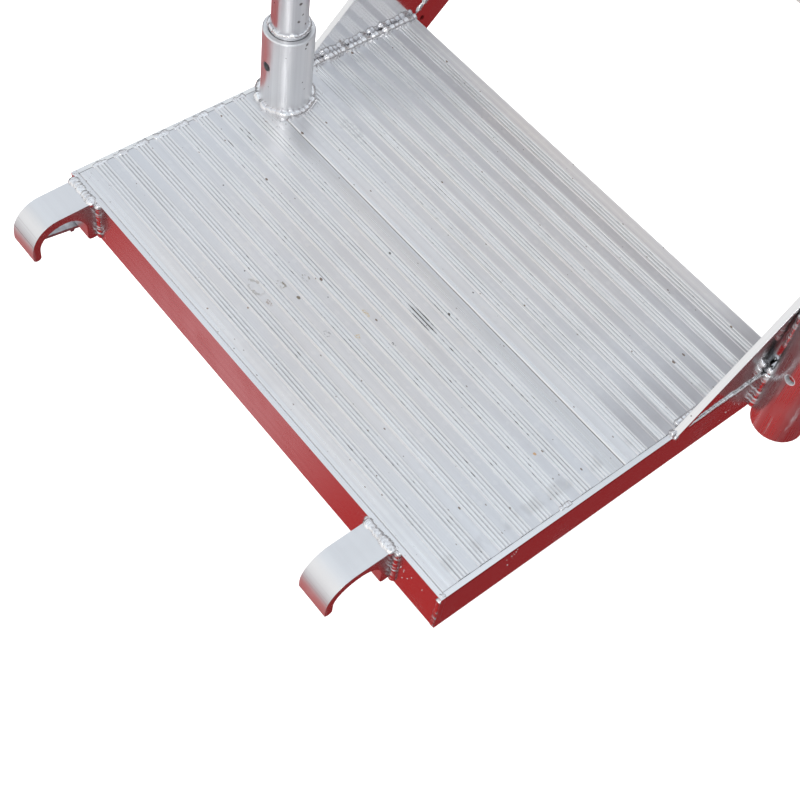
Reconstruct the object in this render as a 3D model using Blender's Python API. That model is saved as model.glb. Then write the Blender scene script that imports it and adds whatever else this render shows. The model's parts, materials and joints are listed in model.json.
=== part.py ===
"""Aluminium scaffold stair unit.

Two ribbed landings with ledger hooks, two channel stringers with a lower chord, treads between them,
and two guardrails that plug into sockets.  Everything is a separate piece, as it is before welding.

Metres, +Z up.  The origin is the axis of the ledger tube under the lower hooks, in the middle of the
stair.  X runs across the stair, +Y is the climbing direction.  Each landing is described once, in the
lower landing's place, and the upper one is its mirror image front to back, one lift higher.
"""

import math

import bmesh
import bpy
from mathutils import Vector

# Fits
GAP = 0.0003

# Overall form
LIFT = 1.500
SLOPE = math.radians(44.15)
WIDTH = 0.640
LANDING = 0.485
FRAME_HEIGHT = 0.060
WALL = 0.006
LEDGE_WIDTH = 0.028
LEDGE_THICKNESS = 0.005

# Where the lower landing's front face and deck stand from the ledger's axis
FRONT = 0.0396
DECK = 0.03665

# Stringer channel and lower chord
STRINGER_START = 0.313
STRINGER_DEPTH = 0.120
STRINGER_WEB = 0.004
STRINGER_FLANGE = 0.008
FLANGE_THICKNESS = 0.006
CHORD_DEPTH = 0.042

# Ribbed planks
RIB_HEIGHT = 0.0006
RIB_VALLEY = 0.0005
RIB_BASE = 0.0034
RIB_TOP = 0.0018
RIB_PITCH = 0.0041
RIBS_IN_GROUP = 4
GROUP_PITCH = 0.0268
GROUP_INSET = 0.0267
PLANK_GROUPS = 8
PLANK_SPLIT = 0.247
PLANK_SKIN = 0.0035
PLANK_CORNER = 0.001
LEG_THICKNESS = 0.003
FOOT_WIDTH = 0.014
OUTER_PLANK_LEGS = (0.034, 0.112, 0.190, 0.228)
INNER_PLANK_LEGS = (0.012, 0.085, 0.158, 0.229)

# Treads
TREADS = 5
TREAD_RISE = LIFT / (TREADS + 1)
TREAD_SETBACK = 0.076
TREAD_DEPTH = 0.150
TREAD_GROUPS = 5
TREAD_LEG = 0.026
TREAD_LEGS = (0.112, 0.024)
TREAD_FOOT_WIDTH = 0.012
TREAD_NOSE = 0.012
TREAD_BACK_LIP = 0.006
TREAD_FRONT_CORNER = (0.002, 0.003)

# Hooks, in from the landing's left side
HOOK_WIDTH = 0.0408
LEFT_HOOK = 0.0096
RIGHT_HOOK = 0.5319

# Hook claw: every point is (ahead of the landing's front face, below its deck), every size is (y, z)
CLAW_ROOT = (0.0, 0.010)
CLAW_CHAMFER = (0.008, 0.0015)
CLAW_TOP = (0.046, 0.0385)
CLAW_TOP_SIZE = (0.036, 0.036)
CLAW_LIP = (0.077, 0.047)
CLAW_LIP_SIZE = (0.005, 0.004)
CLAW_THROAT = (0.040, 0.0365)
CLAW_THROAT_SIZE = (0.032, 0.024)
CLAW_SEAT = (0.0398, 0.0385)
CLAW_SEAT_SIZE = (0.026, 0.026)
CLAW_TOE = (0.0089, 0.052)
CLAW_HEEL = (0.0053, 0.052)
CLAW_FOOT_SIZE = (0.005, 0.005)

# Swivel latch that closes the left hook
PIVOT_IN = 0.017
LATCH_THICKNESS = 0.0045
LATCH_EYE = 0.013
LATCH_TIP = (0.008, 0.055)
LATCH_TIP_RADIUS = 0.007
TAB_START = (0.0105, 0.0165)
TAB_END = (0.0149, 0.0115)
TAB_DROP = 0.010
TAB_OVERLAP = 0.002
WASHER_RADIUS = 0.0085
WASHER_THICKNESS = 0.0014
BOLT_RADIUS = 0.004
BOLT_CLEARANCE = 0.0003
BOLT_END = 0.0015
HEAD_HEIGHT = 0.0055
NUT_HEIGHT = 0.0065
HEX_RADIUS = 0.0075

# Sockets and guardrails
SOCKET_RADIUS = 0.030
SOCKET_BORE = 0.024
DECK_SOCKET_IN = 0.0321
DECK_SOCKET_BACK = 0.2685
DECK_SOCKET_TOP = 0.1035
DECK_SOCKET_HOLE = 0.060
SIDE_SOCKET_BACK = 0.464
SIDE_SOCKET_TOP = 0.190
SIDE_SOCKET_HOLE = 0.040
STOP_RING_TOP = 0.0865
STOP_RING_THICKNESS = 0.006
STOP_RING_BORE = 0.018
RIM_CHAMFER = 0.0012
PIN_HOLE_RADIUS = 0.006
INSERT_RADIUS = 0.0232
INSERT_PROUD = 0.005
POST_RADIUS = 0.021
POST_WALL = 0.003
STRUT_RADIUS = 0.016
STRUT_WALL = 0.0025
TOP_RAIL = 1.000
MID_RAIL = 0.500
RAIL_BEND = 0.070
SIDE_RAIL_START = 0.320
PLUG_LENGTH = 0.004
PLUG_TAPER = 0.002

TUBE_SIDES = 28
RAIL_SIDES = 16
SMALL_SIDES = 20
ARC_STEPS = 8

# How far a cutter reaches past what it cuts
CUTTER_REACH = 0.010
CUTTER_LENGTH = 0.080

# Derived places
LEFT = -WIDTH / 2
RIGHT = WIDTH / 2
REAR = FRONT + LANDING
FRAME_BOTTOM = DECK - FRAME_HEIGHT
TAN = math.tan(SLOPE)
SIN = math.sin(SLOPE)
STAIR_LENGTH = STRINGER_START + (LIFT - FRAME_HEIGHT) / TAN + LANDING
SPAN = STAIR_LENGTH + 2 * FRONT
RAIL_CORNER = FRONT + (STAIR_LENGTH - LIFT / TAN) / 2
SIDE_SOCKET_X = RIGHT - WALL + STRINGER_FLANGE + GAP + SOCKET_RADIUS
DECK_SOCKET_X = LEFT + DECK_SOCKET_IN

ALUMINIUM = (0.80, 0.81, 0.83)
STEEL = (0.62, 0.63, 0.64)
RUBBER = (0.03, 0.03, 0.03)


def clear_scene():
    for item in list(bpy.data.objects):
        bpy.data.objects.remove(item, do_unlink=True)


def material(name, colour, metallic, roughness):
    made = bpy.data.materials.new(name)
    made.use_nodes = True
    shader = made.node_tree.nodes["Principled BSDF"]
    shader.inputs["Base Color"].default_value = (*colour, 1.0)
    shader.inputs["Metallic"].default_value = metallic
    shader.inputs["Roughness"].default_value = roughness
    return made


def lower(point):
    """A point of the lower landing, where it is described."""
    return Vector(point)


def upper(point):
    """The same point on the upper landing."""
    return Vector((point[0], SPAN - point[1], point[2] + LIFT))


def add_object(name, bm, finish, place=lower, origin=(0.0, 0.0, 0.0), parent=None):
    """Turn a bmesh into a named object whose own origin is at the given point."""
    home = place(origin)
    for vertex in bm.verts:
        vertex.co = place(vertex.co) - home
    bmesh.ops.recalc_face_normals(bm, faces=bm.faces)
    if bm.calc_volume(signed=True) < 0:
        bmesh.ops.reverse_faces(bm, faces=bm.faces)
    mesh = bpy.data.meshes.new(name)
    bm.to_mesh(mesh)
    bm.free()
    mesh.shade_smooth()
    mesh.set_sharp_from_angle(angle=math.radians(30))
    mesh.materials.append(finish)
    made = bpy.data.objects.new(name, mesh)
    made.location = home
    bpy.context.scene.collection.objects.link(made)
    if parent:
        made.parent = parent
        made.location = home - parent.location
    return made


def prism(outline, along):
    """Extrude a flat outline of 3-D points along a vector."""
    bm = bmesh.new()
    face = bm.faces.new([bm.verts.new(point) for point in outline])
    grown = bmesh.ops.extrude_face_region(bm, geom=[face])
    moved = [item for item in grown["geom"] if isinstance(item, bmesh.types.BMVert)]
    bmesh.ops.translate(bm, verts=moved, vec=Vector(along))
    return bm


def across(outline, start, end):
    """Extrude a (y, z) outline from x = start to x = end."""
    return prism([(start, y, z) for y, z in outline], (end - start, 0, 0))


def turned(profile, centre, sides=TUBE_SIDES):
    """Spin a closed (radius, z) profile about a vertical axis."""
    bm = bmesh.new()
    ring = [bm.verts.new((centre[0] + radius, centre[1], z)) for radius, z in profile]
    edges = [bm.edges.new((ring[i - 1], ring[i])) for i in range(len(ring))]
    bmesh.ops.spin(
        bm, geom=ring + edges, cent=(centre[0], centre[1], 0), axis=(0, 0, 1),
        angle=2 * math.pi, steps=sides, use_merge=True)
    return bm


def swept(path, x, radius, bore, start_cut=None, end_cut=None, sides=RAIL_SIDES):
    """A tube along a (y, z) path at one x.  A cut is the (y, z) direction that an end face contains."""
    bm = bmesh.new()
    normals = []
    for (y0, z0), (y1, z1) in zip(path[:-1], path[1:]):
        normals.append(Vector((z0 - z1, y1 - y0)).normalized())
    rings = []
    for index, (y, z) in enumerate(path):
        before = normals[max(index - 1, 0)]
        after = normals[min(index, len(normals) - 1)]
        lean = (before + after).normalized()
        if index == 0 and start_cut:
            lean = Vector(start_cut).normalized()
        if index == len(path) - 1 and end_cut:
            lean = Vector(end_cut).normalized()
        lean = lean / lean.dot(before)
        pair = []
        for size in (radius, bore):
            loop = []
            for step in range(sides):
                turn = 2 * math.pi * step / sides
                out = size * math.sin(turn)
                loop.append(bm.verts.new((x + size * math.cos(turn), y + lean[0] * out, z + lean[1] * out)))
            pair.append(loop)
        rings.append(pair)
    for first, second in zip(rings[:-1], rings[1:]):
        for layer in (0, 1):
            for step in range(sides):
                after = (step + 1) % sides
                bm.faces.new((first[layer][step], first[layer][after],
                              second[layer][after], second[layer][step]))
    for outer, inner in (rings[0], rings[-1]):
        for step in range(sides):
            after = (step + 1) % sides
            bm.faces.new((outer[step], outer[after], inner[after], inner[step]))
    return bm


def arc(centre, size, start, end, steps=ARC_STEPS):
    """Points on an ellipse from one angle to another, in degrees."""
    points = []
    for step in range(steps + 1):
        turn = math.radians(start + (end - start) * step / steps)
        points.append((centre[0] + size[0] * math.cos(turn), centre[1] + size[1] * math.sin(turn)))
    return points


def rounded(corners, radius, steps=4):
    """Replace the inner corners of an open path by arcs."""
    path = [corners[0]]
    for before, corner, after in zip(corners[:-2], corners[1:-1], corners[2:]):
        here = Vector(corner)
        back = (Vector(before) - here).normalized()
        ahead = (Vector(after) - here).normalized()
        half = back.angle(ahead) / 2
        centre = here + (back + ahead).normalized() * (radius / math.sin(half))
        start = here + back * (radius / math.tan(half)) - centre
        sweep = start.angle_signed(here + ahead * (radius / math.tan(half)) - centre)
        for step in range(steps + 1):
            turn = -sweep * step / steps
            path.append((centre.x + start.x * math.cos(turn) - start.y * math.sin(turn),
                         centre.y + start.x * math.sin(turn) + start.y * math.cos(turn)))
    path.append(corners[-1])
    return path


def cylinder(name, centre, direction, radius, length=CUTTER_LENGTH, sides=SMALL_SIDES):
    """A round cutter, left out of the build."""
    bm = bmesh.new()
    bmesh.ops.create_cone(bm, cap_ends=True, segments=sides, radius1=radius, radius2=radius, depth=length)
    turn = Vector((0, 0, 1)).rotation_difference(Vector(direction)).to_matrix()
    bmesh.ops.rotate(bm, verts=bm.verts, cent=(0, 0, 0), matrix=turn)
    return cutter(name, bm, centre)


def block(name, corner, opposite):
    """A box-shaped cutter between two opposite corners, left out of the build."""
    middle = [(a + b) / 2 for a, b in zip(corner, opposite)]
    bm = bmesh.new()
    bmesh.ops.create_cube(bm, size=1.0)
    bmesh.ops.scale(bm, verts=bm.verts, vec=[abs(b - a) for a, b in zip(corner, opposite)])
    return cutter(name, bm, middle)


def cutter(name, bm, centre):
    mesh = bpy.data.meshes.new(name)
    bm.to_mesh(mesh)
    bm.free()
    made = bpy.data.objects.new(name, mesh)
    made.location = centre
    made.hide_render = True
    made.display_type = "WIRE"
    bpy.context.scene.collection.objects.link(made)
    return made


def cut(target, tool, operation="DIFFERENCE"):
    change = target.modifiers.new(tool.name, "BOOLEAN")
    change.operation = operation
    change.object = tool


def rib_line(start, groups, height):
    """The top line of a ribbed skin: groups of fine ribs with flat bands between them."""
    line = []
    for group in range(groups):
        middle = start + group * GROUP_PITCH
        first = middle - (RIBS_IN_GROUP - 1) * RIB_PITCH / 2
        for rib in range(RIBS_IN_GROUP):
            centre = first + rib * RIB_PITCH
            line.append((centre - RIB_BASE / 2, height - RIB_VALLEY))
            line.append((centre - RIB_TOP / 2, height + RIB_HEIGHT))
            line.append((centre + RIB_TOP / 2, height + RIB_HEIGHT))
            line.append((centre + RIB_BASE / 2, height - RIB_VALLEY))
    return line


def plank_outline(start, end, group_start, legs, foot_z):
    """A ribbed skin on legs with feet, as one outline in (y, z)."""
    flat = DECK - RIB_VALLEY
    under = DECK - PLANK_SKIN
    outline = [(start, flat - PLANK_CORNER), (start + PLANK_CORNER, flat)]
    outline += rib_line(group_start, PLANK_GROUPS, DECK)
    outline += [(end - PLANK_CORNER, flat), (end, flat - PLANK_CORNER), (end, under)]
    for leg in reversed(legs):
        near = leg - LEG_THICKNESS / 2
        far = leg + LEG_THICKNESS / 2
        outline += [(far, under), (far, foot_z + LEG_THICKNESS)]
        outline += [(leg + FOOT_WIDTH / 2, foot_z + LEG_THICKNESS), (leg + FOOT_WIDTH / 2, foot_z)]
        outline += [(leg - FOOT_WIDTH / 2, foot_z), (leg - FOOT_WIDTH / 2, foot_z + LEG_THICKNESS)]
        outline += [(near, foot_z + LEG_THICKNESS), (near, under)]
    outline.append((start, under))
    return outline


def claw_point(point):
    """A hook point measured from the landing's front face and deck, in (y, z)."""
    return (FRONT - point[0], DECK - point[1])


def hook_outline():
    """The claw over the ledger: a back leg, a curved top and a turned-down lip, in (y, z)."""
    root_y, root_z = claw_point(CLAW_ROOT)
    outline = [(root_y - GAP, root_z), claw_point(CLAW_CHAMFER)]
    outline += arc(claw_point(CLAW_TOP), CLAW_TOP_SIZE, 90, 180)
    outline += arc(claw_point(CLAW_LIP), CLAW_LIP_SIZE, 180, 360, 6)
    outline += arc(claw_point(CLAW_THROAT), CLAW_THROAT_SIZE, 180, 90)
    outline += arc(claw_point(CLAW_SEAT), CLAW_SEAT_SIZE, 84, 0)
    outline += arc(claw_point(CLAW_TOE), CLAW_FOOT_SIZE, 180, 270, 4)
    outline += arc(claw_point(CLAW_HEEL), CLAW_FOOT_SIZE, 270, 360, 4)
    return outline


def make_landing(tag, place, finish, steel):
    make_frame(tag, place, finish)
    make_planks(tag, place, finish)
    make_hooks(tag, place, finish)
    make_latch(tag, place, finish, steel)
    make_sockets(tag, place, finish)


def make_frame(tag, place, finish):
    """Two side members and the end beam between the hooks, all angle sections."""
    ledge_top = FRAME_BOTTOM + LEDGE_THICKNESS
    angle = [(FRONT, FRAME_BOTTOM), (FRONT + LEDGE_WIDTH, FRAME_BOTTOM), (FRONT + LEDGE_WIDTH, ledge_top),
             (FRONT + WALL, ledge_top), (FRONT + WALL, DECK), (FRONT, DECK)]
    beam = add_object(tag + "_end_beam", across(angle, LEFT, RIGHT), finish, place)
    for side in (-1, 1):
        inner = side * (WIDTH / 2 - LEDGE_WIDTH - GAP)
        outer = side * (WIDTH / 2 + CUTTER_REACH)
        low = place((min(inner, outer), FRONT + WALL, FRAME_BOTTOM - CUTTER_REACH))
        high = place((max(inner, outer), FRONT + LEDGE_WIDTH + CUTTER_REACH, ledge_top + CUTTER_REACH))
        cut(beam, block(f"{tag}_notch_{side}", low, high))
    for name, side in (("left", -1), ("right", 1)):
        edge = side * WIDTH / 2
        angle = [(edge, FRAME_BOTTOM), (edge - side * LEDGE_WIDTH, FRAME_BOTTOM),
                 (edge - side * LEDGE_WIDTH, ledge_top), (edge - side * WALL, ledge_top),
                 (edge - side * WALL, DECK), (edge, DECK)]
        start = FRONT + WALL + GAP
        member = prism([(x, start, z) for x, z in angle], (0, REAR - start, 0))
        member = add_object(f"{tag}_side_member_{name}", member, finish, place)
        if side < 0:
            hole = place((LEFT + PIVOT_IN, FRONT + PIVOT_IN, FRAME_BOTTOM))
            cut(member, cylinder(tag + "_bolt_hole", hole, (0, 0, 1), BOLT_RADIUS + BOLT_CLEARANCE))


def make_planks(tag, place, finish):
    """Two extruded deck planks lying between the side members on their ledges."""
    foot = FRAME_BOTTOM + LEDGE_THICKNESS + GAP
    start = LEFT + WALL + GAP
    split = FRONT + PLANK_SPLIT
    near = FRONT + WALL + GAP
    legs = [near + inset for inset in OUTER_PLANK_LEGS]
    outline = plank_outline(near, split - GAP, near + GROUP_INSET, legs, foot)
    add_object(tag + "_plank_outer", across(outline, start, -start), finish, place)
    legs = [split + inset for inset in INNER_PLANK_LEGS]
    outline = plank_outline(split + GAP, REAR, split + GROUP_INSET, legs, foot)
    add_object(tag + "_plank_inner", across(outline, start, -start), finish, place)


def make_hooks(tag, place, finish):
    for name, inset in (("left", LEFT_HOOK), ("right", RIGHT_HOOK)):
        claw = across(hook_outline(), LEFT + inset, LEFT + inset + HOOK_WIDTH)
        add_object(f"{tag}_hook_{name}", claw, finish, place)


def hexagon(pivot, low, height):
    outline = [(x, y, low) for x, y in arc(pivot, (HEX_RADIUS, HEX_RADIUS), 0, 300, 5)]
    return prism(outline, (0, 0, height))


def make_latch(tag, place, finish, steel):
    """A flat bar under the landing's corner that swings beneath the ledger, on a vertical bolt."""
    pivot = Vector((LEFT + PIVOT_IN, FRONT + PIVOT_IN))
    top = FRAME_BOTTOM - WASHER_THICKNESS - 2 * GAP
    bottom = top - LATCH_THICKNESS
    hole_radius = BOLT_RADIUS + BOLT_CLEARANCE
    tip = (LEFT + LATCH_TIP[0], FRONT - LATCH_TIP[1])
    outline = arc(tip, (LATCH_TIP_RADIUS, LATCH_TIP_RADIUS), 180, 360)
    outline += arc(pivot, (LATCH_EYE, LATCH_EYE), -60, 160, 12)
    centre = (pivot.x, pivot.y, top)
    bar = prism([(x, y, bottom) for x, y in outline], (0, 0, LATCH_THICKNESS))
    bar = add_object(tag + "_latch", bar, finish, place, centre)
    low = place((LEFT + TAB_START[0], FRONT - TAB_START[1], bottom - TAB_DROP))
    high = place((LEFT + TAB_END[0], FRONT - TAB_END[1], bottom + TAB_OVERLAP))
    cut(bar, block(tag + "_thumb_tab", low, high), "UNION")
    cut(bar, cylinder(tag + "_latch_hole", place(centre), (0, 0, 1), hole_radius))

    washer_top = FRAME_BOTTOM - GAP
    washer = [(hole_radius, washer_top - WASHER_THICKNESS), (WASHER_RADIUS, washer_top - WASHER_THICKNESS),
              (WASHER_RADIUS, washer_top), (hole_radius, washer_top)]
    add_object(tag + "_latch_washer", turned(washer, pivot, SMALL_SIDES), steel, place)

    nut_low = FRAME_BOTTOM + LEDGE_THICKNESS + GAP
    nut = add_object(tag + "_latch_nut", hexagon(pivot, nut_low, NUT_HEIGHT), steel, place)
    cut(nut, cylinder(tag + "_nut_hole", place((pivot.x, pivot.y, nut_low)), (0, 0, 1), hole_radius))

    head_low = bottom - GAP - HEAD_HEIGHT
    bolt = add_object(tag + "_latch_bolt", hexagon(pivot, head_low, HEAD_HEIGHT), steel, place)
    shank_low = head_low + HEAD_HEIGHT / 2
    shank_high = nut_low + NUT_HEIGHT + BOLT_END
    middle = place((pivot.x, pivot.y, (shank_high + shank_low) / 2))
    shank = cylinder(tag + "_shank", middle, (0, 0, 1), BOLT_RADIUS, shank_high - shank_low)
    cut(bolt, shank, "UNION")


def tube_profile(low, high, radius, bore, chamfer=0.0):
    """The closed (radius, z) profile of a tube with a chamfered top rim."""
    profile = [(bore, low), (radius, low), (radius, high - chamfer)]
    if chamfer:
        profile.append((radius - chamfer, high))
    profile.append((bore, high))
    return profile


def make_sockets(tag, place, finish):
    """A guardrail socket standing on the deck, and one down the outside of the right side member."""
    centre = (DECK_SOCKET_X, FRONT + DECK_SOCKET_BACK)
    low = DECK + RIB_HEIGHT + GAP
    profile = tube_profile(low, DECK + DECK_SOCKET_TOP, SOCKET_RADIUS, SOCKET_BORE, RIM_CHAMFER)
    socket = add_object(tag + "_deck_socket", turned(profile, centre), finish, place)
    hole = place((*centre, DECK + DECK_SOCKET_HOLE))
    cut(socket, cylinder(tag + "_deck_pin_hole", hole, (0, 1, 0), PIN_HOLE_RADIUS))

    centre = (SIDE_SOCKET_X, FRONT + SIDE_SOCKET_BACK)
    profile = tube_profile(FRAME_BOTTOM, DECK + SIDE_SOCKET_TOP, SOCKET_RADIUS, SOCKET_BORE, RIM_CHAMFER)
    socket = add_object(tag + "_side_socket", turned(profile, centre), finish, place)
    hole = place((*centre, DECK + SIDE_SOCKET_HOLE))
    cut(socket, cylinder(tag + "_side_pin_hole", hole, (0, 1, 0), PIN_HOLE_RADIUS))
    high = DECK + STOP_RING_TOP
    profile = tube_profile(high - STOP_RING_THICKNESS, high, SOCKET_BORE - GAP, STOP_RING_BORE)
    add_object(tag + "_side_socket_stop", turned(profile, centre), finish, place)


def slope_y(z, depth=0.0):
    """Where the stringer's top line, or a line parallel below it, stands at a height."""
    return FRONT + STRINGER_START + (z - DECK) / TAN + depth / SIN


def slope_z(y, depth):
    return DECK + (y - FRONT - STRINGER_START - depth / SIN) * TAN


def make_stringers(finish):
    """A channel with its flanges outwards on each side, and a flat lower chord along its lower edge."""
    low = DECK + GAP
    high = DECK + LIFT - FRAME_HEIGHT - GAP
    bottom = STRINGER_DEPTH
    channel = [(0, 0), (STRINGER_FLANGE, 0), (STRINGER_FLANGE, FLANGE_THICKNESS),
               (STRINGER_WEB, FLANGE_THICKNESS), (STRINGER_WEB, bottom - FLANGE_THICKNESS),
               (STRINGER_FLANGE, bottom - FLANGE_THICKNESS), (STRINGER_FLANGE, bottom), (0, bottom)]
    chord = [(0, bottom + GAP), (WALL, bottom + GAP), (WALL, bottom + CHORD_DEPTH), (0, bottom + CHORD_DEPTH)]
    for name, side in (("left", -1), ("right", 1)):
        inner = side * (WIDTH / 2 - WALL)
        foot = [(inner + side * out, slope_y(low, depth), low) for out, depth in channel]
        head = [(inner + side * out, slope_y(high, depth), high) for out, depth in channel]
        add_object("stringer_" + name, joined_ends(foot, head), finish)
        cut_y = REAR + GAP
        foot = [(inner + side * out, cut_y, slope_z(cut_y, depth)) for out, depth in chord]
        head = [(inner + side * out, slope_y(high, depth), high) for out, depth in chord]
        add_object("lower_chord_" + name, joined_ends(foot, head), finish)


def joined_ends(foot, head):
    """A bar between two flat ends that have the same outline."""
    bm = bmesh.new()
    loops = [[bm.verts.new(point) for point in end] for end in (foot, head)]
    for loop in loops:
        bm.faces.new(loop)
    for index in range(len(foot)):
        after = (index + 1) % len(foot)
        bm.faces.new((loops[0][index], loops[0][after], loops[1][after], loops[1][index]))
    return bm


def make_treads(finish):
    """Ribbed treads between the stringers, with a nosing at the front and two legs underneath."""
    start = LEFT + WALL + GAP
    for number in range(1, TREADS + 1):
        top = DECK + number * TREAD_RISE
        front = slope_y(top) + TREAD_SETBACK
        add_object(f"tread_{number}", across(tread_outline(front, top), start, -start), finish)


def tread_outline(front, top):
    """A tread's section in (y, z)."""
    back = front + TREAD_DEPTH
    flat = top - RIB_VALLEY
    under = top - PLANK_SKIN
    foot = top - TREAD_LEG
    foot_top = foot + LEG_THICKNESS
    inset = (TREAD_DEPTH - (TREAD_GROUPS - 1) * GROUP_PITCH) / 2
    outline = [(front, top - TREAD_FRONT_CORNER[1]), (front + TREAD_FRONT_CORNER[0], flat)]
    outline += rib_line(front + inset, TREAD_GROUPS, top)
    outline += [(back - PLANK_CORNER, flat), (back, flat - PLANK_CORNER), (back, top - TREAD_BACK_LIP),
                (back - LEG_THICKNESS, top - TREAD_BACK_LIP), (back - LEG_THICKNESS, under)]
    for inset in TREAD_LEGS:
        leg = front + inset
        near = leg - LEG_THICKNESS / 2
        far = leg + LEG_THICKNESS / 2
        toe = leg - TREAD_FOOT_WIDTH / 2
        heel = leg + TREAD_FOOT_WIDTH / 2
        outline += [(far, under), (far, foot_top), (heel, foot_top), (heel, foot)]
        outline += [(toe, foot), (toe, foot_top), (near, foot_top), (near, under)]
    outline += [(front + LEG_THICKNESS, under), (front + LEG_THICKNESS, top - TREAD_NOSE),
                (front, top - TREAD_NOSE)]
    return outline


def make_insert(name, centre, rim, bottom, hole_z, finish, parent, place):
    """The sleeve at a post's foot, which fills the socket's bore."""
    profile = tube_profile(bottom, rim + INSERT_PROUD, INSERT_RADIUS, POST_RADIUS + GAP, RIM_CHAMFER)
    sleeve = add_object(name, turned(profile, centre), finish, place, (*centre, bottom), parent)
    if hole_z:
        hole = place((*centre, hole_z))
        cut(sleeve, cylinder(name + "_hole", hole, (0, 1, 0), PIN_HOLE_RADIUS))


def make_post(name, x, y, low, high, hole_z, finish, parent, top_lean=0.0):
    """A vertical tube whose top may be cut along the rail above it."""
    lean = (1.0, top_lean)
    path = [(y, low), (y, high)]
    tube = swept(path, x, POST_RADIUS, POST_RADIUS - POST_WALL, None, lean, TUBE_SIDES)
    post = add_object(name, tube, finish, lower, (x, y, low), parent)
    if hole_z:
        cut(post, cylinder(name + "_hole", (x, y, hole_z), (0, 1, 0), PIN_HOLE_RADIUS))


def make_strut(name, x, y, low, high, finish, parent):
    """A small upright between two sloping rails."""
    lean = (1.0, TAN)
    tube = swept([(y, low), (y, high)], x, STRUT_RADIUS, STRUT_RADIUS - STRUT_WALL, lean, lean)
    add_object(name, tube, finish, lower, (x, y, low), parent)


def rail_z(y, height):
    """The height of a rail's axis: level over the landings and parallel to the stringers between them."""
    end = SPAN - RAIL_CORNER
    return DECK + height + (min(max(y, RAIL_CORNER), end) - RAIL_CORNER) * TAN


def guardrail_parent(name, x, y):
    made = bpy.data.objects.new(name, None)
    made.location = (x, y, DECK)
    bpy.context.scene.collection.objects.link(made)
    return made


def make_left_guardrail(finish):
    """Stands in the two deck sockets; its top rail turns down into the posts."""
    x = DECK_SOCKET_X
    near = FRONT + DECK_SOCKET_BACK
    far = SPAN - near
    parent = guardrail_parent("left_guardrail", x, near)
    bottom = DECK + RIB_HEIGHT + GAP
    turn = POST_RADIUS + RAIL_BEND
    for tag, place, y, base in (("lower", lower, near, 0.0), ("upper", upper, far, LIFT)):
        make_insert(f"left_guardrail_insert_{tag}", (x, near), DECK + DECK_SOCKET_TOP, bottom,
                    DECK + DECK_SOCKET_HOLE, finish, parent, place)
        make_post(f"left_guardrail_post_{tag}", x, y, base + bottom, base + DECK + TOP_RAIL - turn - GAP,
                  base + DECK + DECK_SOCKET_HOLE, finish, parent)
    corners = [(near, DECK + TOP_RAIL - turn), (near, DECK + TOP_RAIL),
               (RAIL_CORNER, DECK + TOP_RAIL), (SPAN - RAIL_CORNER, DECK + LIFT + TOP_RAIL),
               (far, DECK + LIFT + TOP_RAIL), (far, DECK + LIFT + TOP_RAIL - turn)]
    path = rounded(corners, RAIL_BEND)
    rail = swept(path, x, POST_RADIUS, POST_RADIUS - POST_WALL)
    add_object("left_guardrail_top_rail", rail, finish, lower, (x, near, DECK + TOP_RAIL), parent)
    ends = POST_RADIUS + GAP
    corners = [(near + ends, DECK + MID_RAIL), (RAIL_CORNER, DECK + MID_RAIL),
               (SPAN - RAIL_CORNER, DECK + LIFT + MID_RAIL), (far - ends, DECK + LIFT + MID_RAIL)]
    rail = swept(rounded(corners, RAIL_BEND), x, STRUT_RADIUS, STRUT_RADIUS - STRUT_WALL)
    add_object("left_guardrail_mid_rail", rail, finish, lower, (x, near, DECK + MID_RAIL), parent)
    make_struts("left_guardrail", x, finish, parent)


def make_right_guardrail(finish, rubber):
    """Stands in the two side sockets; its top rail runs on past the posts to plugged ends."""
    x = SIDE_SOCKET_X
    near = FRONT + SIDE_SOCKET_BACK
    far = SPAN - near
    parent = guardrail_parent("right_guardrail", x, near)
    bottom = DECK + STOP_RING_TOP + GAP
    reach = (POST_RADIUS + GAP) / math.cos(SLOPE)
    for tag, place, y, base in (("lower", lower, near, 0.0), ("upper", upper, far, LIFT)):
        make_insert(f"right_guardrail_insert_{tag}", (x, near), DECK + SIDE_SOCKET_TOP, bottom,
                    None, finish, parent, place)
        make_post(f"right_guardrail_post_{tag}", x, y, base + bottom, rail_z(y, TOP_RAIL) - reach,
                  None, finish, parent, TAN)
    start = FRONT + SIDE_RAIL_START
    corners = [(start, DECK + TOP_RAIL), (RAIL_CORNER, DECK + TOP_RAIL),
               (SPAN - RAIL_CORNER, DECK + LIFT + TOP_RAIL), (SPAN - start, DECK + LIFT + TOP_RAIL)]
    rail = swept(rounded(corners, RAIL_BEND), x, POST_RADIUS, POST_RADIUS - POST_WALL)
    add_object("right_guardrail_top_rail", rail, finish, lower, (x, start, DECK + TOP_RAIL), parent)
    ends = POST_RADIUS + GAP
    path = [(near + ends, rail_z(near + ends, MID_RAIL)), (far - ends, rail_z(far - ends, MID_RAIL))]
    rail = swept(path, x, STRUT_RADIUS, STRUT_RADIUS - STRUT_WALL, (0.0, 1.0), (0.0, 1.0))
    add_object("right_guardrail_mid_rail", rail, finish, lower, (x, near, DECK + MID_RAIL), parent)
    make_struts("right_guardrail", x, finish, parent)
    for tag, end, way in (("lower", start, -1), ("upper", SPAN - start, 1)):
        bm = bmesh.new()
        bmesh.ops.create_cone(bm, cap_ends=True, segments=RAIL_SIDES, radius1=POST_RADIUS,
                              radius2=POST_RADIUS - PLUG_TAPER, depth=PLUG_LENGTH)
        turn = Vector((0, 0, 1)).rotation_difference(Vector((0, way, 0))).to_matrix()
        bmesh.ops.rotate(bm, verts=bm.verts, cent=(0, 0, 0), matrix=turn)
        centre = (x, end + way * (PLUG_LENGTH / 2 + GAP), rail_z(end, TOP_RAIL))
        bmesh.ops.translate(bm, verts=bm.verts, vec=centre)
        add_object(f"right_guardrail_plug_{tag}", bm, rubber, lower, centre, parent)


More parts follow.
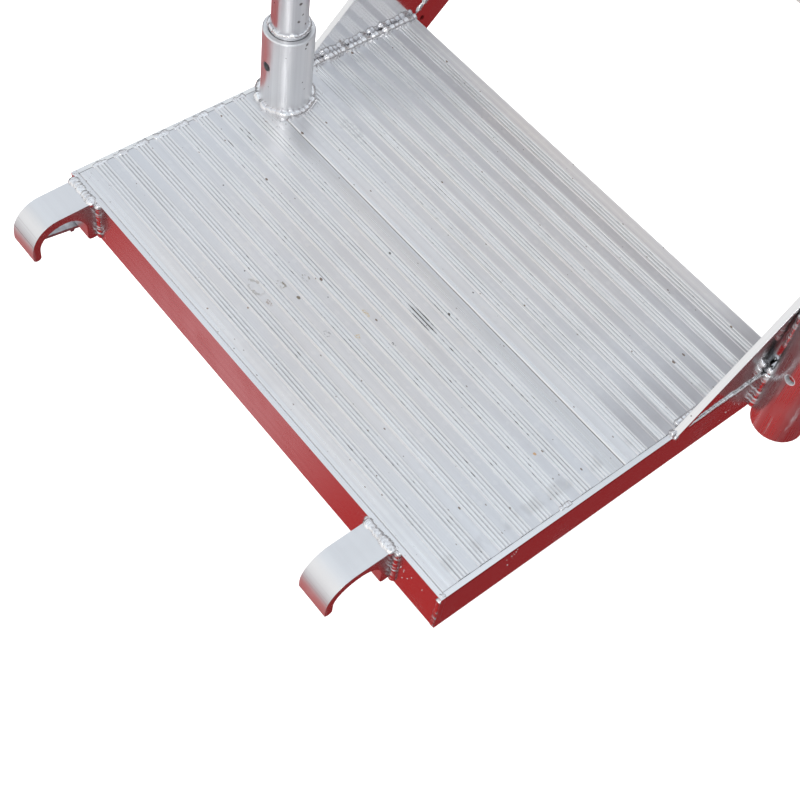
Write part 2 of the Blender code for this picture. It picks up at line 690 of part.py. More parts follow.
def make_struts(name, x, finish, parent):
    """Two uprights between the middle rail and the top rail of a guardrail."""
    flight = SPAN - 2 * RAIL_CORNER
    low_reach = (STRUT_RADIUS + GAP) / math.cos(SLOPE)
    high_reach = (POST_RADIUS + GAP) / math.cos(SLOPE)
    for number in (1, 2):
        y = RAIL_CORNER + flight * number / 3
        make_strut(f"{name}_strut_{number}", x, y, rail_z(y, MID_RAIL) + low_reach,
                   rail_z(y, TOP_RAIL) - high_reach, finish, parent)


def main():
    clear_scene()
    aluminium = material("aluminium", ALUMINIUM, 1.0, 0.35)
    steel = material("zinc_steel", STEEL, 1.0, 0.45)
    rubber = material("black_plug", RUBBER, 0.0, 0.6)
    make_landing("lower", lower, aluminium, steel)
    make_landing("upper", upper, aluminium, steel)
    make_stringers(aluminium)
    make_treads(aluminium)
    make_left_guardrail(aluminium)
    make_right_guardrail(aluminium, rubber)


main()
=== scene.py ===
"""Looks for the aluminium scaffold stair unit: mill-finish metal, weld beads and soft light."""

import json
import math
import random

import bmesh
import bpy
from mathutils import Matrix, Vector

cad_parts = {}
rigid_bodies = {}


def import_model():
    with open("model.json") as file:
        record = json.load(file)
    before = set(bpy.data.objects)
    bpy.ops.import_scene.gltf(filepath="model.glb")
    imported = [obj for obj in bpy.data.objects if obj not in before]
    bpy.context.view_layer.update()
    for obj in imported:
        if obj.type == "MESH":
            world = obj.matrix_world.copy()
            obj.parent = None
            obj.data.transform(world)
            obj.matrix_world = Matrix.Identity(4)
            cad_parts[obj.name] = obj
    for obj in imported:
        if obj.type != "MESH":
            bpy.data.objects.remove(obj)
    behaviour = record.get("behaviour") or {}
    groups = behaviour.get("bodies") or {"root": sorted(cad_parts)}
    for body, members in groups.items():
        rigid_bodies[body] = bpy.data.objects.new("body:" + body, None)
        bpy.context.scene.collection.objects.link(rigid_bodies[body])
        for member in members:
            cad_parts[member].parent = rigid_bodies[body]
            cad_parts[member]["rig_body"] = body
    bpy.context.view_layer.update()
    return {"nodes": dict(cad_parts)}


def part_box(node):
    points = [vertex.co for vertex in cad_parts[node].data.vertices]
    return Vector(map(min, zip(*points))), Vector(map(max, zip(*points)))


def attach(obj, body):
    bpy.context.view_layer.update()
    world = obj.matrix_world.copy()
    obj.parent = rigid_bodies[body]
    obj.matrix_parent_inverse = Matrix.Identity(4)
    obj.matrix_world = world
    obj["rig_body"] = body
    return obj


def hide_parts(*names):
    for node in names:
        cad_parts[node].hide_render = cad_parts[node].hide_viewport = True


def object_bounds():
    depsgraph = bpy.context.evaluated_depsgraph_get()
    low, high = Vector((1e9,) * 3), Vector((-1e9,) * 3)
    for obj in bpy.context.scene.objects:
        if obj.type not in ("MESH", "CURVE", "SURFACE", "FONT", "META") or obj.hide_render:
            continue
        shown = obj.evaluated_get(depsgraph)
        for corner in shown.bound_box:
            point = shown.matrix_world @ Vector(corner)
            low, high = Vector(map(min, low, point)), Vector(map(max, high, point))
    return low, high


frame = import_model()
nodes = frame["nodes"]

MM = 0.001
X, Y, Z = (1, 0, 0), (0, 1, 0), (0, 0, 1)
LEFTWARDS, FORWARDS = (-1, 0, 0), (0, -1, 0)

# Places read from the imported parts
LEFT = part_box("lower_side_member_left")[0].x
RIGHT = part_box("lower_side_member_right")[1].x
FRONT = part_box("lower_end_beam")[0].y
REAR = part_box("lower_side_member_left")[1].y
FRAME_BOTTOM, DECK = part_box("lower_end_beam")[0].z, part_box("lower_end_beam")[1].z
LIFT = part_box("upper_end_beam")[1].z - DECK
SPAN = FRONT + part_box("upper_end_beam")[1].y

# Sizes that the parts are built to
SLOPE = math.radians(44.15)
UP_SLOPE = Vector((0, math.cos(SLOPE), math.sin(SLOPE)))
ACROSS_SLOPE = Vector((0, -math.sin(SLOPE), math.cos(SLOPE)))
STRINGER_WEB = 0.006
RIB_GROUP_PITCH = 0.0268
RIB_GROUP_INSET = 0.0267
RIB_HEIGHT = 0.0006
PLANK_GROUPS = 8
TREAD_GROUPS = 5
TREADS = 5
SIDE_PIN_HOLE = 0.040

# Camera
AIM = Vector((0.1231, 0.1489, 0.03665))
DISTANCE = 1.43564
AZIMUTH = math.radians(42.082)
ELEVATION = math.radians(55.602)
ROLL = math.radians(10.829)
LENS = 63.80
SENSOR = 36.0


def lower(point):
    return Vector(point)


def upper(point):
    """The upper landing is the lower one mirrored and lifted."""
    return Vector((point[0], SPAN - point[1], point[2] + LIFT))


def upper_way(way):
    return Vector((way[0], -way[1], way[2]))


def lower_way(way):
    return Vector(way)


def landing(x, y, z):
    """A point measured in millimetres from the landing's front left top corner."""
    return Vector((LEFT + x * MM, FRONT + y * MM, DECK + z * MM))


# ---------------------------------------------------------------- node graphs


class Nodes:
    """Adds nodes to a node tree.  Values are numbers, colours or other nodes' sockets."""

    def __init__(self, tree):
        self.tree = tree

    def put(self, kind, values=None, **settings):
        node = self.tree.nodes.new(kind)
        for name, value in settings.items():
            setattr(node, name, value)
        for name, value in (values or {}).items():
            self.feed(node.inputs[name], value)
        return node

    def feed(self, socket, value):
        if isinstance(value, bpy.types.NodeSocket):
            self.tree.links.new(value, socket)
        else:
            socket.default_value = value

    def math(self, operation, first, second=0.0, clamp=False):
        values = {0: first, 1: second}
        node = self.put("ShaderNodeMath", values, operation=operation, use_clamp=clamp)
        return node.outputs[0]

    def plus(self, first, second):
        return self.math("ADD", first, second)

    def minus(self, first, second, clamp=False):
        return self.math("SUBTRACT", first, second, clamp)

    def times(self, first, *others):
        for other in others:
            first = self.math("MULTIPLY", first, other)
        return first

    def dot(self, vector, direction):
        values = {0: vector, 1: direction}
        node = self.put("ShaderNodeVectorMath", values, operation="DOT_PRODUCT")
        return node.outputs["Value"]

    def remap(self, value, low, high, to_low=0.0, to_high=1.0, smooth=True):
        kind = "SMOOTHSTEP" if smooth else "LINEAR"
        node = self.put("ShaderNodeMapRange", {0: value, 1: low, 2: high, 3: to_low, 4: to_high},
                        interpolation_type=kind, clamp=True)
        return node.outputs[0]

    def band(self, value, low, high, soft):
        """1 between two values and 0 outside them."""
        return self.times(self.remap(value, low, low + soft), self.remap(value, high, high - soft))

    def mix(self, factor, first, second, blend="MIX"):
        node = self.put("ShaderNodeMix", {"Factor": factor}, data_type="RGBA", blend_type=blend)
        self.feed(node.inputs[6], first)
        self.feed(node.inputs[7], second)
        return node.outputs[2]

    def separate(self, vector):
        return self.put("ShaderNodeSeparateXYZ", {0: vector}).outputs


class Graph(Nodes):
    """One node material."""

    def __init__(self, name):
        self.material = bpy.data.materials.new(name)
        self.material.use_nodes = True
        super().__init__(self.material.node_tree)
        self.shader = self.tree.nodes["Principled BSDF"]
        self.place = self.put("ShaderNodeTexCoord").outputs["Object"]

    def facing(self):
        """The surface's direction in the part's own axes."""
        return self.separate(self.put("ShaderNodeTexCoord").outputs["Normal"])

    def stretched(self, scale, turn=(0.0, 0.0, 0.0), shift=(0.0, 0.0, 0.0)):
        """Object coordinates turned and then scaled, so that a texture runs along one direction."""
        values = {"Vector": self.place, "Rotation": turn, "Location": shift}
        turned = self.put("ShaderNodeMapping", values)
        node = self.put("ShaderNodeMapping", {"Vector": turned.outputs[0], "Scale": scale})
        return node.outputs[0]

    def noise(self, vector, scale=1.0, detail=3.0, roughness=0.5):
        values = {"Vector": vector, "Scale": scale, "Detail": detail, "Roughness": roughness}
        return self.put("ShaderNodeTexNoise", values).outputs["Fac"]

    def cells(self, vector, scale, dimensions="3D"):
        node = self.put("ShaderNodeTexVoronoi", {"Vector": vector, "Scale": scale},
                        voronoi_dimensions=dimensions)
        return node.outputs["Distance"], node.outputs["Color"]

    def near(self, point, radius, soft, ragged=0.0, long=1.0):
        """1 in a patch about a point of the part, 0 outside it.  Its edge may be ragged, and it may
        be longer along X."""
        place = self.place
        if ragged:
            values = {"Vector": place, "Scale": 0.8 / radius, "Detail": 3.0}
            warp = self.put("ShaderNodeTexNoise", values).outputs["Color"]
            shift = self.put("ShaderNodeVectorMath", {0: warp, 1: (0.5, 0.5, 0.5)},
                             operation="SUBTRACT").outputs[0]
            moved = self.put("ShaderNodeVectorMath", {0: shift, "Scale": radius * ragged},
                             operation="SCALE").outputs[0]
            place = self.put("ShaderNodeVectorMath", {0: place, 1: moved}).outputs[0]
        place = self.put("ShaderNodeVectorMath", {0: place, 1: (1 / long, 1.0, 1.0)},
                         operation="MULTIPLY").outputs[0]
        target = (point[0] / long, point[1], point[2])
        node = self.put("ShaderNodeVectorMath", {0: place, 1: target}, operation="DISTANCE")
        return self.remap(node.outputs["Value"], radius, radius * (1 - soft))

    def bump(self, height, distance, strength, normal=None):
        values = {"Height": height, "Distance": distance, "Strength": strength}
        if normal is not None:
            values["Normal"] = normal
        return self.put("ShaderNodeBump", values).outputs[0]

    def finish(self, colour, roughness, normal, metallic=1.0):
        self.feed(self.shader.inputs["Base Color"], colour)
        self.feed(self.shader.inputs["Roughness"], roughness)
        self.feed(self.shader.inputs["Metallic"], metallic)
        self.feed(self.shader.inputs["Normal"], normal)
        return self.material

# ---------------------------------------------------------------- colours

LIGHT = (0.90, 0.905, 0.915, 1.0)
DULL = (0.81, 0.81, 0.825, 1.0)
# This dark colour serves for real specks and scuffs, and for painted shadow lines.
SMUT_AND_SHADE = (0.22, 0.19, 0.17, 1.0)
BURNT = (0.10, 0.075, 0.07, 1.0)
FROST = (1.0, 1.0, 0.985, 1.0)
SCUFF = (0.97, 0.97, 0.98, 1.0)
BORE_PAINTED_SHEEN = (0.66, 0.67, 0.70, 1.0)
POST_TINT = (0.93, 0.93, 0.94, 1.0)
LATCH_SHADE = (0.34, 0.34, 0.37, 1.0)
SAWN_METAL = (0.66, 0.62, 0.64, 1.0)
SCORED_METAL = (0.35, 0.30, 0.31, 1.0)
WELD_BRIGHT = (0.95, 0.95, 0.96, 1.0)
WELD_DULL = (0.84, 0.83, 0.84, 1.0)
WELD_OXIDE = (0.40, 0.37, 0.39, 1.0)
ZINC_DARK = (0.58, 0.59, 0.60, 1.0)
ZINC_LIGHT = (0.72, 0.72, 0.71, 1.0)
RUST = (0.30, 0.17, 0.10, 1.0)
PLUG_DARK = (0.020, 0.020, 0.021, 1.0)
PLUG_LIGHT = (0.045, 0.045, 0.046, 1.0)

# Ribbed deck
FRESH_BAND = (0.79, 0.80, 0.825, 1.0)
# The darker band colour stands for wear and for painted shade.
WORN_SHADED_BAND = (0.61, 0.61, 0.64, 1.0)
GROOVE_GREY = (0.44, 0.42, 0.42, 1.0)
GROOVE_DIRT = (0.12, 0.09, 0.08, 1.0)
BRIGHT_RIM = (0.97, 0.97, 0.975, 1.0)
BRIGHT_RIB = (0.95, 0.955, 0.965, 1.0)
LIME = (0.93, 0.91, 0.87, 1.0)
FLECK = (0.97, 0.97, 0.97, 1.0)
TRODDEN_TINT = (1.03, 0.985, 0.945, 1.0)
RIGHT_END_GREY = (0.60, 0.59, 0.605, 1.0)
SPECK = (0.20, 0.13, 0.09, 1.0)
SHADED_TINT = (0.86, 0.86, 0.86, 1.0)

# Stains
DARK = (0.10, 0.085, 0.08, 1.0)
BROWN = (0.36, 0.24, 0.16, 1.0)
OLIVE = (0.26, 0.21, 0.14, 1.0)
YELLOW = (0.76, 0.58, 0.30, 1.0)
OCHRE = (0.75, 0.44, 0.20, 1.0)
GREY = (0.40, 0.40, 0.42, 1.0)

# Surroundings
WHITE = (1.0, 1.0, 1.0, 1.0)
DAYLIGHT = (1.12, 1.12, 1.12, 1.0)
FLOOR_DARK = (0.96, 0.96, 0.96, 1.0)
FLOOR_LIGHT = (0.98, 0.98, 0.98, 1.0)
SKY_SIDES = (0.80, 0.81, 0.82, 1.0)
SKY_FRONT = (0.95, 0.945, 0.94, 1.0)
SKY_BEHIND = (0.65, 0.68, 0.73, 1.0)
SKY_HIGH = (0.89, 0.95, 1.01, 1.0)
SKY_TOP = (0.56, 0.59, 0.63, 1.0)
HORIZON_DIM = (0.48, 0.46, 0.47, 1.0)
SHADE_PANEL = (0.24, 0.245, 0.26, 1.0)
GROUND_RED = (0.44, 0.030, 0.030, 1.0)
GROUND_DARK_RED = (0.27, 0.022, 0.024, 1.0)
GROUND_GLARE = (0.62, 0.26, 0.27, 1.0)
LATER_RED = (0.19, 0.040, 0.042, 1.0)
LATER_PALE = (0.62, 0.60, 0.62, 1.0)


# ---------------------------------------------------------------- marks on the surfaces

# In millimetres on the landing: x, y, z, radius
STRINGER_BURNS = ((6, 499.6, -9.3, 5.2), (640, 470, -18, 10.0))
POST_SMEARS = ((52.9, 266.1, 152, 2.6), (52.8, 264.7, 128, 2.4), (52, 275.1, 120, 1.8),
               (53, 270, 136, 1.6), (30.2, 247.6, 146, 1.4))
SOCKET_SMEARS = ((62, 271.4, 99.5, 2.6), (62.1, 269.7, 94.4, 1.7), (62.1, 268, 44.9, 1.2),
                 (62, 271.3, 32.9, 0.9), (54.4, 248.4, 84.6, 0.8))

# In millimetres on the deck: x, y, radius; then tint, amount, length over width, shape
STAINS = {
    "lower_plank_outer": [
        (280, 103, 2.2, OLIVE, 0.90, 1.5, "drop"),
        (256, 98, 4.6, OLIVE, 0.85, 1.7, "ring"),
        (268, 73, 3.4, BROWN, 0.60, 2.0, "patch"),
        (263, 125, 4.2, OLIVE, 0.70, 1.6, "ring"),
        (244, 74, 8.5, OLIVE, 0.40, 1.8, "ring"),
        (219, 77, 1.2, DARK, 0.85, 1.0, "drop"),
        (261, 51, 1.4, BROWN, 0.85, 1.2, "drop"),
        (238, 16, 1.3, BROWN, 0.80, 1.2, "drop"),
        (356, 123, 3.6, YELLOW, 0.75, 1.2, "patch"),
        (337, 149, 3.0, YELLOW, 0.70, 2.4, "patch"),
        (335, 99, 3.6, DARK, 0.55, 1.6, "ring"),
        (297, 129, 1.0, DARK, 0.80, 1.2, "drop"),
        (107, 128, 1.1, DARK, 0.85, 1.2, "drop"),
        (385, 148, 2.2, DARK, 0.90, 1.7, "patch"),
        (388, 221, 1.6, DARK, 0.90, 1.4, "drop"),
        (287, 221, 1.4, DARK, 0.85, 1.4, "drop"),
        (571, 180, 1.8, OCHRE, 0.85, 1.4, "drop"),
        (376, 194, 6.2, DARK, 0.95, 4.2, "lines"),
    ],
    "lower_plank_inner": [
        (307, 244, 1.8, BROWN, 0.85, 1.4, "drop"),
        (380, 262, 1.2, DARK, 0.85, 1.2, "drop"),
        (120, 300, 12.0, GREY, 0.20, 2.2, "patch"),
    ],
}

# How much the bands between the ribs darken, in patches of wear and with painted shade towards the
# rear and right; more of it leaves less dirt in the hollows
INNER_WEAR_AND_SHADE = 0.75
OUTER_WEAR_AND_SHADE = 0.25


def spots(rows, places=(lower,)):
    """Points of the part and radii in metres, from rows of marks."""
    return [(place(landing(x, y, z)), radius * MM) for x, y, z, radius in rows for place in places]


# ---------------------------------------------------------------- materials


def mill_coordinates(graph, along, fine, run):
    """Object coordinates that squeeze a texture across the extrusion and draw it out along it."""
    if along == "slope":
        level = {"Vector": graph.place, "Rotation": (-SLOPE, 0.0, 0.0)}
        turned = graph.put("ShaderNodeMapping", level).outputs[0]
        node = graph.put("ShaderNodeMapping", {"Vector": turned, "Scale": (fine, run, fine)})
        return node.outputs[0]
    scale = {"x": (run, fine, fine), "y": (fine, run, fine), "z": (fine, fine, run)}[along]
    return graph.put("ShaderNodeMapping", {"Vector": graph.place, "Scale": scale}).outputs[0]


def mill_surface(graph, along, rough, lines=1.0):
    """Colour, roughness and normal of mill-finish aluminium with die lines along one direction."""
    fine = graph.noise(mill_coordinates(graph, along, 900.0, 1.0), detail=4.0, roughness=0.6)
    broad = graph.noise(mill_coordinates(graph, along, 150.0, 0.3), detail=3.0, roughness=0.55)
    cloud = graph.noise(graph.place, scale=14.0, detail=4.0, roughness=0.6)
    tone = graph.plus(graph.times(broad, 0.55), graph.times(fine, 0.45))
    shade = graph.remap(tone, 0.36, 0.64, 0.5 - 0.5 * lines, 0.5 + 0.5 * lines)
    colour = graph.mix(shade, LIGHT, DULL)
    colour = graph.mix(graph.remap(cloud, 0.50, 0.78, 0.0, 0.35), colour, DULL)
    distance, tint = graph.cells(graph.place, 85.0)
    chosen = graph.remap(graph.separate(tint)[0], 0.90, 0.93)
    specks = graph.times(chosen, graph.remap(distance, 0.10, 0.05), 0.65)
    colour = graph.mix(specks, colour, SMUT_AND_SHADE)
    roughness = graph.remap(tone, 0.35, 0.65, rough - 0.05 * lines, rough + 0.06 * lines,
                            smooth=False)
    roughness = graph.plus(roughness, graph.remap(cloud, 0.45, 0.75, 0.0, 0.08))
    normal = graph.bump(graph.plus(graph.times(fine, 0.4), broad), 0.000024 * lines, 0.5)
    wide = graph.noise(graph.place, scale=22.0, detail=2.0)
    normal = graph.bump(wide, 0.0003, 0.20, normal)
    return colour, roughness, normal


def profile_material(name, along, rough, lines, burns=(), tint=None, tops=()):
    """Plain profile or tube.  It may have soot burns, a tint, and frosted upper faces with a
    painted shadow line just under each height in tops."""
    graph = Graph(name)
    colour, roughness, normal = mill_surface(graph, along, rough, lines)
    if tint:
        colour = graph.mix(1.0, colour, tint, "MULTIPLY")
    if tops:
        x, _, z = graph.separate(graph.place)
        frost = graph.times(graph.remap(graph.facing()[2], 0.8, 0.95), graph.remap(x, 0.0, -0.2))
        patches = graph.noise(graph.place, scale=70.0, detail=4.0, roughness=0.65)
        frost = graph.times(frost, graph.remap(patches, 0.35, 0.55, 0.35, 1.0))
        colour = graph.mix(frost, colour, FROST)
        roughness = graph.plus(roughness, graph.times(frost, 0.20))
        streaky = graph.noise(graph.stretched((8.0, 8.0, 200.0)), detail=3.0)
    # Painted shadow: a dark, streaky line just under each height in tops.
    for top in tops:
        line = graph.band(z, top - 0.0050, top - 0.0010, 0.0016)
        line = graph.times(line, graph.remap(streaky, 0.3, 0.6, 0.25, 0.70))
        colour = graph.mix(line, colour, SMUT_AND_SHADE)
    for point, radius in burns:
        mask = graph.near(point, radius, 0.7, 1.4)
        colour = graph.mix(graph.times(mask, 0.92), colour, BURNT)
    return graph.finish(colour, roughness, normal)


def side_socket_material():
    """Drawn tube, scuffed in streaks by handling, with a painted sheen in its pin holes: a pale,
    partly diffuse bore.
    """
    graph = Graph("side_socket_tube")
    colour, roughness, normal = mill_surface(graph, "z", 0.27, 0.9)
    scuff = graph.noise(graph.stretched((130.0, 130.0, 14.0)), detail=4.0, roughness=0.7)
    scuff = graph.remap(scuff, 0.55, 0.70)
    colour = graph.mix(graph.times(scuff, 0.35), colour, SCUFF)
    roughness = graph.plus(roughness, graph.times(scuff, 0.28))
    metal = 1.0
    low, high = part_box("lower_side_socket")
    hole = Vector(((low.x + high.x) / 2, low.y + 0.0025, DECK + SIDE_PIN_HOLE))
    # Painted sheen: the bores of the pin holes are pale and mostly diffuse, so that they look lit
    # and silvery.
    for place in (lower, upper):
        bore = graph.near(place(hole), 0.0072, 0.08)
        colour = graph.mix(bore, colour, BORE_PAINTED_SHEEN)
        metal = graph.minus(metal, graph.times(bore, 0.7))
    return graph.finish(colour, roughness, normal, metal)


def latch_material():
    """The swivel bar: the same alloy, dull, and darkened unevenly with painted shade."""
    graph = Graph("latch_bar")
    colour, roughness, normal = mill_surface(graph, "x", 0.40)
    latch_shade_noise = graph.noise(graph.place, scale=90.0, detail=4.0, roughness=0.65)
    # Painted shade: the whole bar is darkened, unevenly, as if it lay in the hook's shadow.
    colour = graph.mix(graph.remap(latch_shade_noise, 0.3, 0.65, 0.45, 0.9), colour, LATCH_SHADE)
    return graph.finish(colour, roughness, normal)


def add_specks(graph, colour):
    """Dark specks of two sizes."""
    for stretch, share, size, strength in ((27.0, 0.86, 0.065, 0.85), (60.0, 0.93, 0.080, 0.7)):
        place = graph.stretched((stretch, stretch * 2, 1.0), shift=(0.3, 0.1, 0.0))
        distance, tint = graph.cells(place, 1.0, "2D")
        shades = graph.separate(tint)
        speck = graph.math("LESS_THAN", distance, graph.times(shades[1], size))
        speck = graph.times(speck, graph.math("GREATER_THAN", shades[0], share))
        colour = graph.mix(graph.times(speck, strength), colour, SPECK)
    return colour


def add_stains(graph, colour, hollow, stains):
    """Drops, rings and patches; a stain of lines lies mostly in the hollows between the ribs."""
    for x, y, size, tint, amount, long, shape in stains:
        point, radius = landing(x, y, 0), size * MM
        mask = graph.near(point, radius, 0.35, 1.0, long)
        if shape == "ring":
            hole = graph.near(point, radius * 0.72, 0.3, 1.9, long)
            mask = graph.minus(mask, hole, clamp=True)
        if shape == "lines":
            mask = graph.times(mask, graph.remap(hollow, 0.0, 1.0, 0.12, 1.0))
        elif shape != "drop":
            ragged = graph.noise(graph.place, scale=1.6 / radius, detail=4.0, roughness=0.7)
            mask = graph.times(mask, graph.remap(ragged, 0.47, 0.54))
        colour = graph.mix(graph.times(mask, amount), colour, tint)
    return colour


def ribbed_material(name, low, high, start, groups, wear_and_shade, stains=(), satin=None, shaded=None,
                    dim=None):
    """Ribbed extrusion: bright rib tops, duller bands between the groups of ribs that darken with
    wear and painted shade towards the rear and right, painted shade and dirt in the hollows, specks
    and stains.  Each of the last three values is the Y where an effect begins and the Y where it
    is full: a satin margin, a shaded margin, and a greyer right end."""
    graph = Graph(name)
    colour, roughness, normal = mill_surface(graph, "x", 0.30)
    x, y, z = graph.separate(graph.place)
    turns = graph.times(graph.minus(y, start), 1 / RIB_GROUP_PITCH)
    away = graph.math("ABSOLUTE", graph.minus(graph.math("FRACT", turns), 0.5))
    inner = graph.band(turns, 0.10, groups - 0.10, 0.08)

    # Bands without ribs
    bare = graph.remap(away, 0.17, 0.23)
    wander = graph.noise(graph.stretched((1.5, 60.0, 1.0)), detail=2.0)
    band = graph.times(bare, graph.remap(wander, 0.3, 0.7, 0.55, 1.0), inner)
    patchy = graph.noise(graph.stretched((2.2, 7.0, 1.0)), detail=3.0)
    # Painted shade: the bands darken towards the rear and towards the right, in patches like wear.
    inward = graph.remap(y, low.y + (high.y - low.y) * 0.1, high.y, 0.15, 1.0)
    inward = graph.times(inward, graph.remap(x, LEFT, RIGHT * 0.8, 0.60, 1.15))
    worn_and_shaded = graph.times(graph.remap(patchy, 0.25, 0.6, 0.3, 1.0), inward, inner)
    dull = graph.mix(graph.times(worn_and_shaded, wear_and_shade), FRESH_BAND, WORN_SHADED_BAND)
    flat = graph.mix(graph.times(band, 0.8), colour, dull)

    # Ribs and the hollows between them
    deck = high.z - RIB_HEIGHT
    lined = graph.times(graph.band(turns, 0.0, groups, 0.01), graph.remap(away, 0.27, 0.25))
    hollow_shade_noise = graph.noise(graph.stretched((9.0, 300.0, 1.0)), detail=3.0)
    hollow = graph.times(graph.remap(z, deck - 0.0001, deck - 0.0004), lined)
    # Painted shade: every hollow between the ribs is greyed; the darker dashes below are dirt.
    valley = graph.times(hollow, graph.remap(hollow_shade_noise, 0.3, 0.7, 0.05, 0.70))
    flat = graph.mix(valley, flat, GROOVE_GREY)
    dash = graph.noise(graph.stretched((75.0, 260.0, 1.0), shift=(0.2, 0.7, 0.0)), detail=2.0,
                       roughness=0.6)
    grimy = graph.noise(graph.stretched((5.0, 9.0, 1.0), shift=(0.0, 0.4, 0.0)), detail=2.0)
    dash = graph.times(graph.remap(dash, 0.60, 0.66, 0.0, 1.0 - wear_and_shade * 0.85), hollow,
                       graph.remap(grimy, 0.42, 0.58, 0.25, 1.0))
    flat = graph.mix(dash, flat, GROOVE_DIRT)
    rim = graph.math("MAXIMUM", graph.remap(y, low.y + 0.0026, low.y + 0.0014),
                     graph.remap(y, high.y - 0.0026, high.y - 0.0014))
    flat = graph.mix(graph.times(rim, 0.8), flat, BRIGHT_RIM)
    crest = graph.times(graph.remap(z, deck + 0.0004, deck + 0.0006), lined)
    flat = graph.mix(graph.times(crest, 0.8), flat, BRIGHT_RIB)

    # Lime, flecks, scuffs at the right end, and the warmer trodden middle
    pale = graph.noise(graph.place, scale=75.0, detail=5.0, roughness=0.75)
    flat = graph.mix(graph.remap(pale, 0.58, 0.70, 0.0, 0.30), flat, LIME)
    blot, tint = graph.cells(graph.stretched((110.0, 150.0, 1.0)), 1.0, "2D")
    chosen = graph.remap(graph.separate(tint)[0], 0.7, 0.8)
    flat = graph.mix(graph.times(graph.remap(blot, 0.40, 0.30), chosen, 0.16), flat, FLECK)
    scuff = graph.noise(graph.stretched((22.0, 45.0, 1.0)), detail=3.0)
    scuff = graph.times(graph.remap(scuff, 0.45, 0.58, 0.0, 0.14),
                        graph.band(x, RIGHT - 0.036, RIGHT - 0.016, 0.006), inner)
    flat = graph.mix(scuff, flat, SMUT_AND_SHADE)
    middle = graph.band(x, LEFT * 0.95, RIGHT * 0.95, 0.22)
    cloudy = graph.noise(graph.stretched((3.0, 7.0, 1.0)), detail=4.0, roughness=0.6)
    trodden = graph.times(middle, graph.remap(cloudy, 0.30, 0.60, 0.35, 1.0),
                          graph.remap(bare, 0.0, 1.0, 0.30, 1.0))
    flat = graph.mix(trodden, flat, TRODDEN_TINT, "MULTIPLY")
    # The bands turn greyer over the right end of the part.
    if dim:
        end = graph.remap(x, RIGHT - 0.110, RIGHT - 0.030)
        right_end_dimming = graph.times(end, graph.remap(y, *dim), graph.remap(patchy, 0.25, 0.6, 0.7, 1.0))
        flat = graph.mix(graph.times(right_end_dimming, bare), flat, RIGHT_END_GREY)
    roughness = graph.plus(roughness, graph.times(band, 0.05))
    flat = add_stains(graph, add_specks(graph, flat), hollow, stains)
    metal = 1.0
    if satin:
        margin = graph.remap(y, *satin)
        roughness = graph.plus(roughness, graph.times(margin, 0.22))
        metal = graph.minus(1.0, graph.times(margin, 0.11))
    if shaded:
        flat = graph.mix(graph.remap(y, *shaded), flat, SHADED_TINT, "MULTIPLY")
    return graph.finish(flat, roughness, normal, metal)


def hook_material():
    """Extruded hook section: die lines across its curved faces and saw marks on the cut sides."""
    graph = Graph("hook_extrusion")
    colour, roughness, normal = mill_surface(graph, "x", 0.36, lines=0.22)
    x, y, z = graph.separate(graph.place)
    sawn = graph.remap(graph.math("ABSOLUTE", graph.facing()[0]), 0.6, 0.9)
    marks = graph.noise(graph.stretched((20.0, 40.0, 1500.0), (0.5, 0.0, 0.0)), detail=3.0)
    sawing = graph.times(sawn, graph.remap(marks, 0.35, 0.65, 0.2, 0.9))
    colour = graph.mix(sawing, colour, SAWN_METAL)
    lip = graph.times(graph.remap(y, FRONT - 0.070, FRONT - 0.076), graph.minus(1.0, sawn))
    scored = graph.noise(graph.stretched((1.0, 1.0, 900.0)), detail=2.0, roughness=0.7)
    scored = graph.times(graph.remap(scored, 0.56, 0.66), graph.times(lip, 0.40))
    colour = graph.mix(scored, colour, SCORED_METAL)
    crease = graph.band(z, DECK - 0.0270, DECK - 0.0263, 0.0002)
    left_hook = graph.remap(x, LEFT + 0.10, LEFT + 0.08)
    colour = graph.mix(graph.times(crease, lip, left_hook, 0.85), colour, BURNT)
    roughness = graph.minus(roughness, graph.times(sawn, 0.12))
    normal = graph.bump(graph.times(sawn, marks), 0.00015, 0.5, normal)
    oxide = graph.times(graph.remap(y, FRONT - 0.078, FRONT - 0.081), 0.05)
    return graph.finish(colour, roughness, normal, graph.minus(1.0, oxide))


def weld_material():
    """Cast-looking weld metal: bright, with a dull oxide where one crescent laps on the next."""
    graph = Graph("weld_bead")
    grain = graph.noise(graph.place, scale=420.0, detail=3.0, roughness=0.6)
    cloud = graph.noise(graph.place, scale=60.0, detail=2.0)
    colour = graph.mix(graph.remap(cloud, 0.35, 0.7), WELD_BRIGHT, WELD_DULL)
    lap = graph.put("ShaderNodeAttribute", attribute_name="lap").outputs["Fac"]
    oxide = graph.times(graph.remap(lap, 0.36, 0.03), graph.remap(grain, 0.3, 0.6, 0.4, 1.0))
    colour = graph.mix(graph.times(oxide, 0.60), colour, WELD_OXIDE)
    normal = graph.bump(grain, 0.0004, 0.35)
    roughness = graph.plus(graph.remap(cloud, 0.3, 0.7, 0.15, 0.26), graph.times(oxide, 0.2))
    return graph.finish(colour, roughness, normal)


def zinc_material():
    """Dull zinc plating with fine spangle and a little rust."""
    graph = Graph("zinc_steel")
    distance, tint = graph.cells(graph.place, 900.0)
    spangle = graph.separate(tint)[0]
    colour = graph.mix(spangle, ZINC_DARK, ZINC_LIGHT)
    rust = graph.remap(graph.noise(graph.place, scale=260.0, detail=4.0), 0.60, 0.72, 0.0, 0.7)
    colour = graph.mix(rust, colour, RUST)
    roughness = graph.remap(spangle, 0.0, 1.0, 0.34, 0.50)
    return graph.finish(colour, roughness, graph.bump(distance, 0.0001, 0.3))


def plug_material():
    """Black moulded plastic with a fine grain."""
    graph = Graph("black_plug")
    grain = graph.noise(graph.place, scale=2400.0, detail=2.0)
    colour = graph.mix(grain, PLUG_DARK, PLUG_LIGHT)
    roughness = graph.remap(grain, 0.3, 0.7, 0.45, 0.6)
    return graph.finish(colour, roughness, graph.bump(grain, 0.0001, 0.5), 0.0)


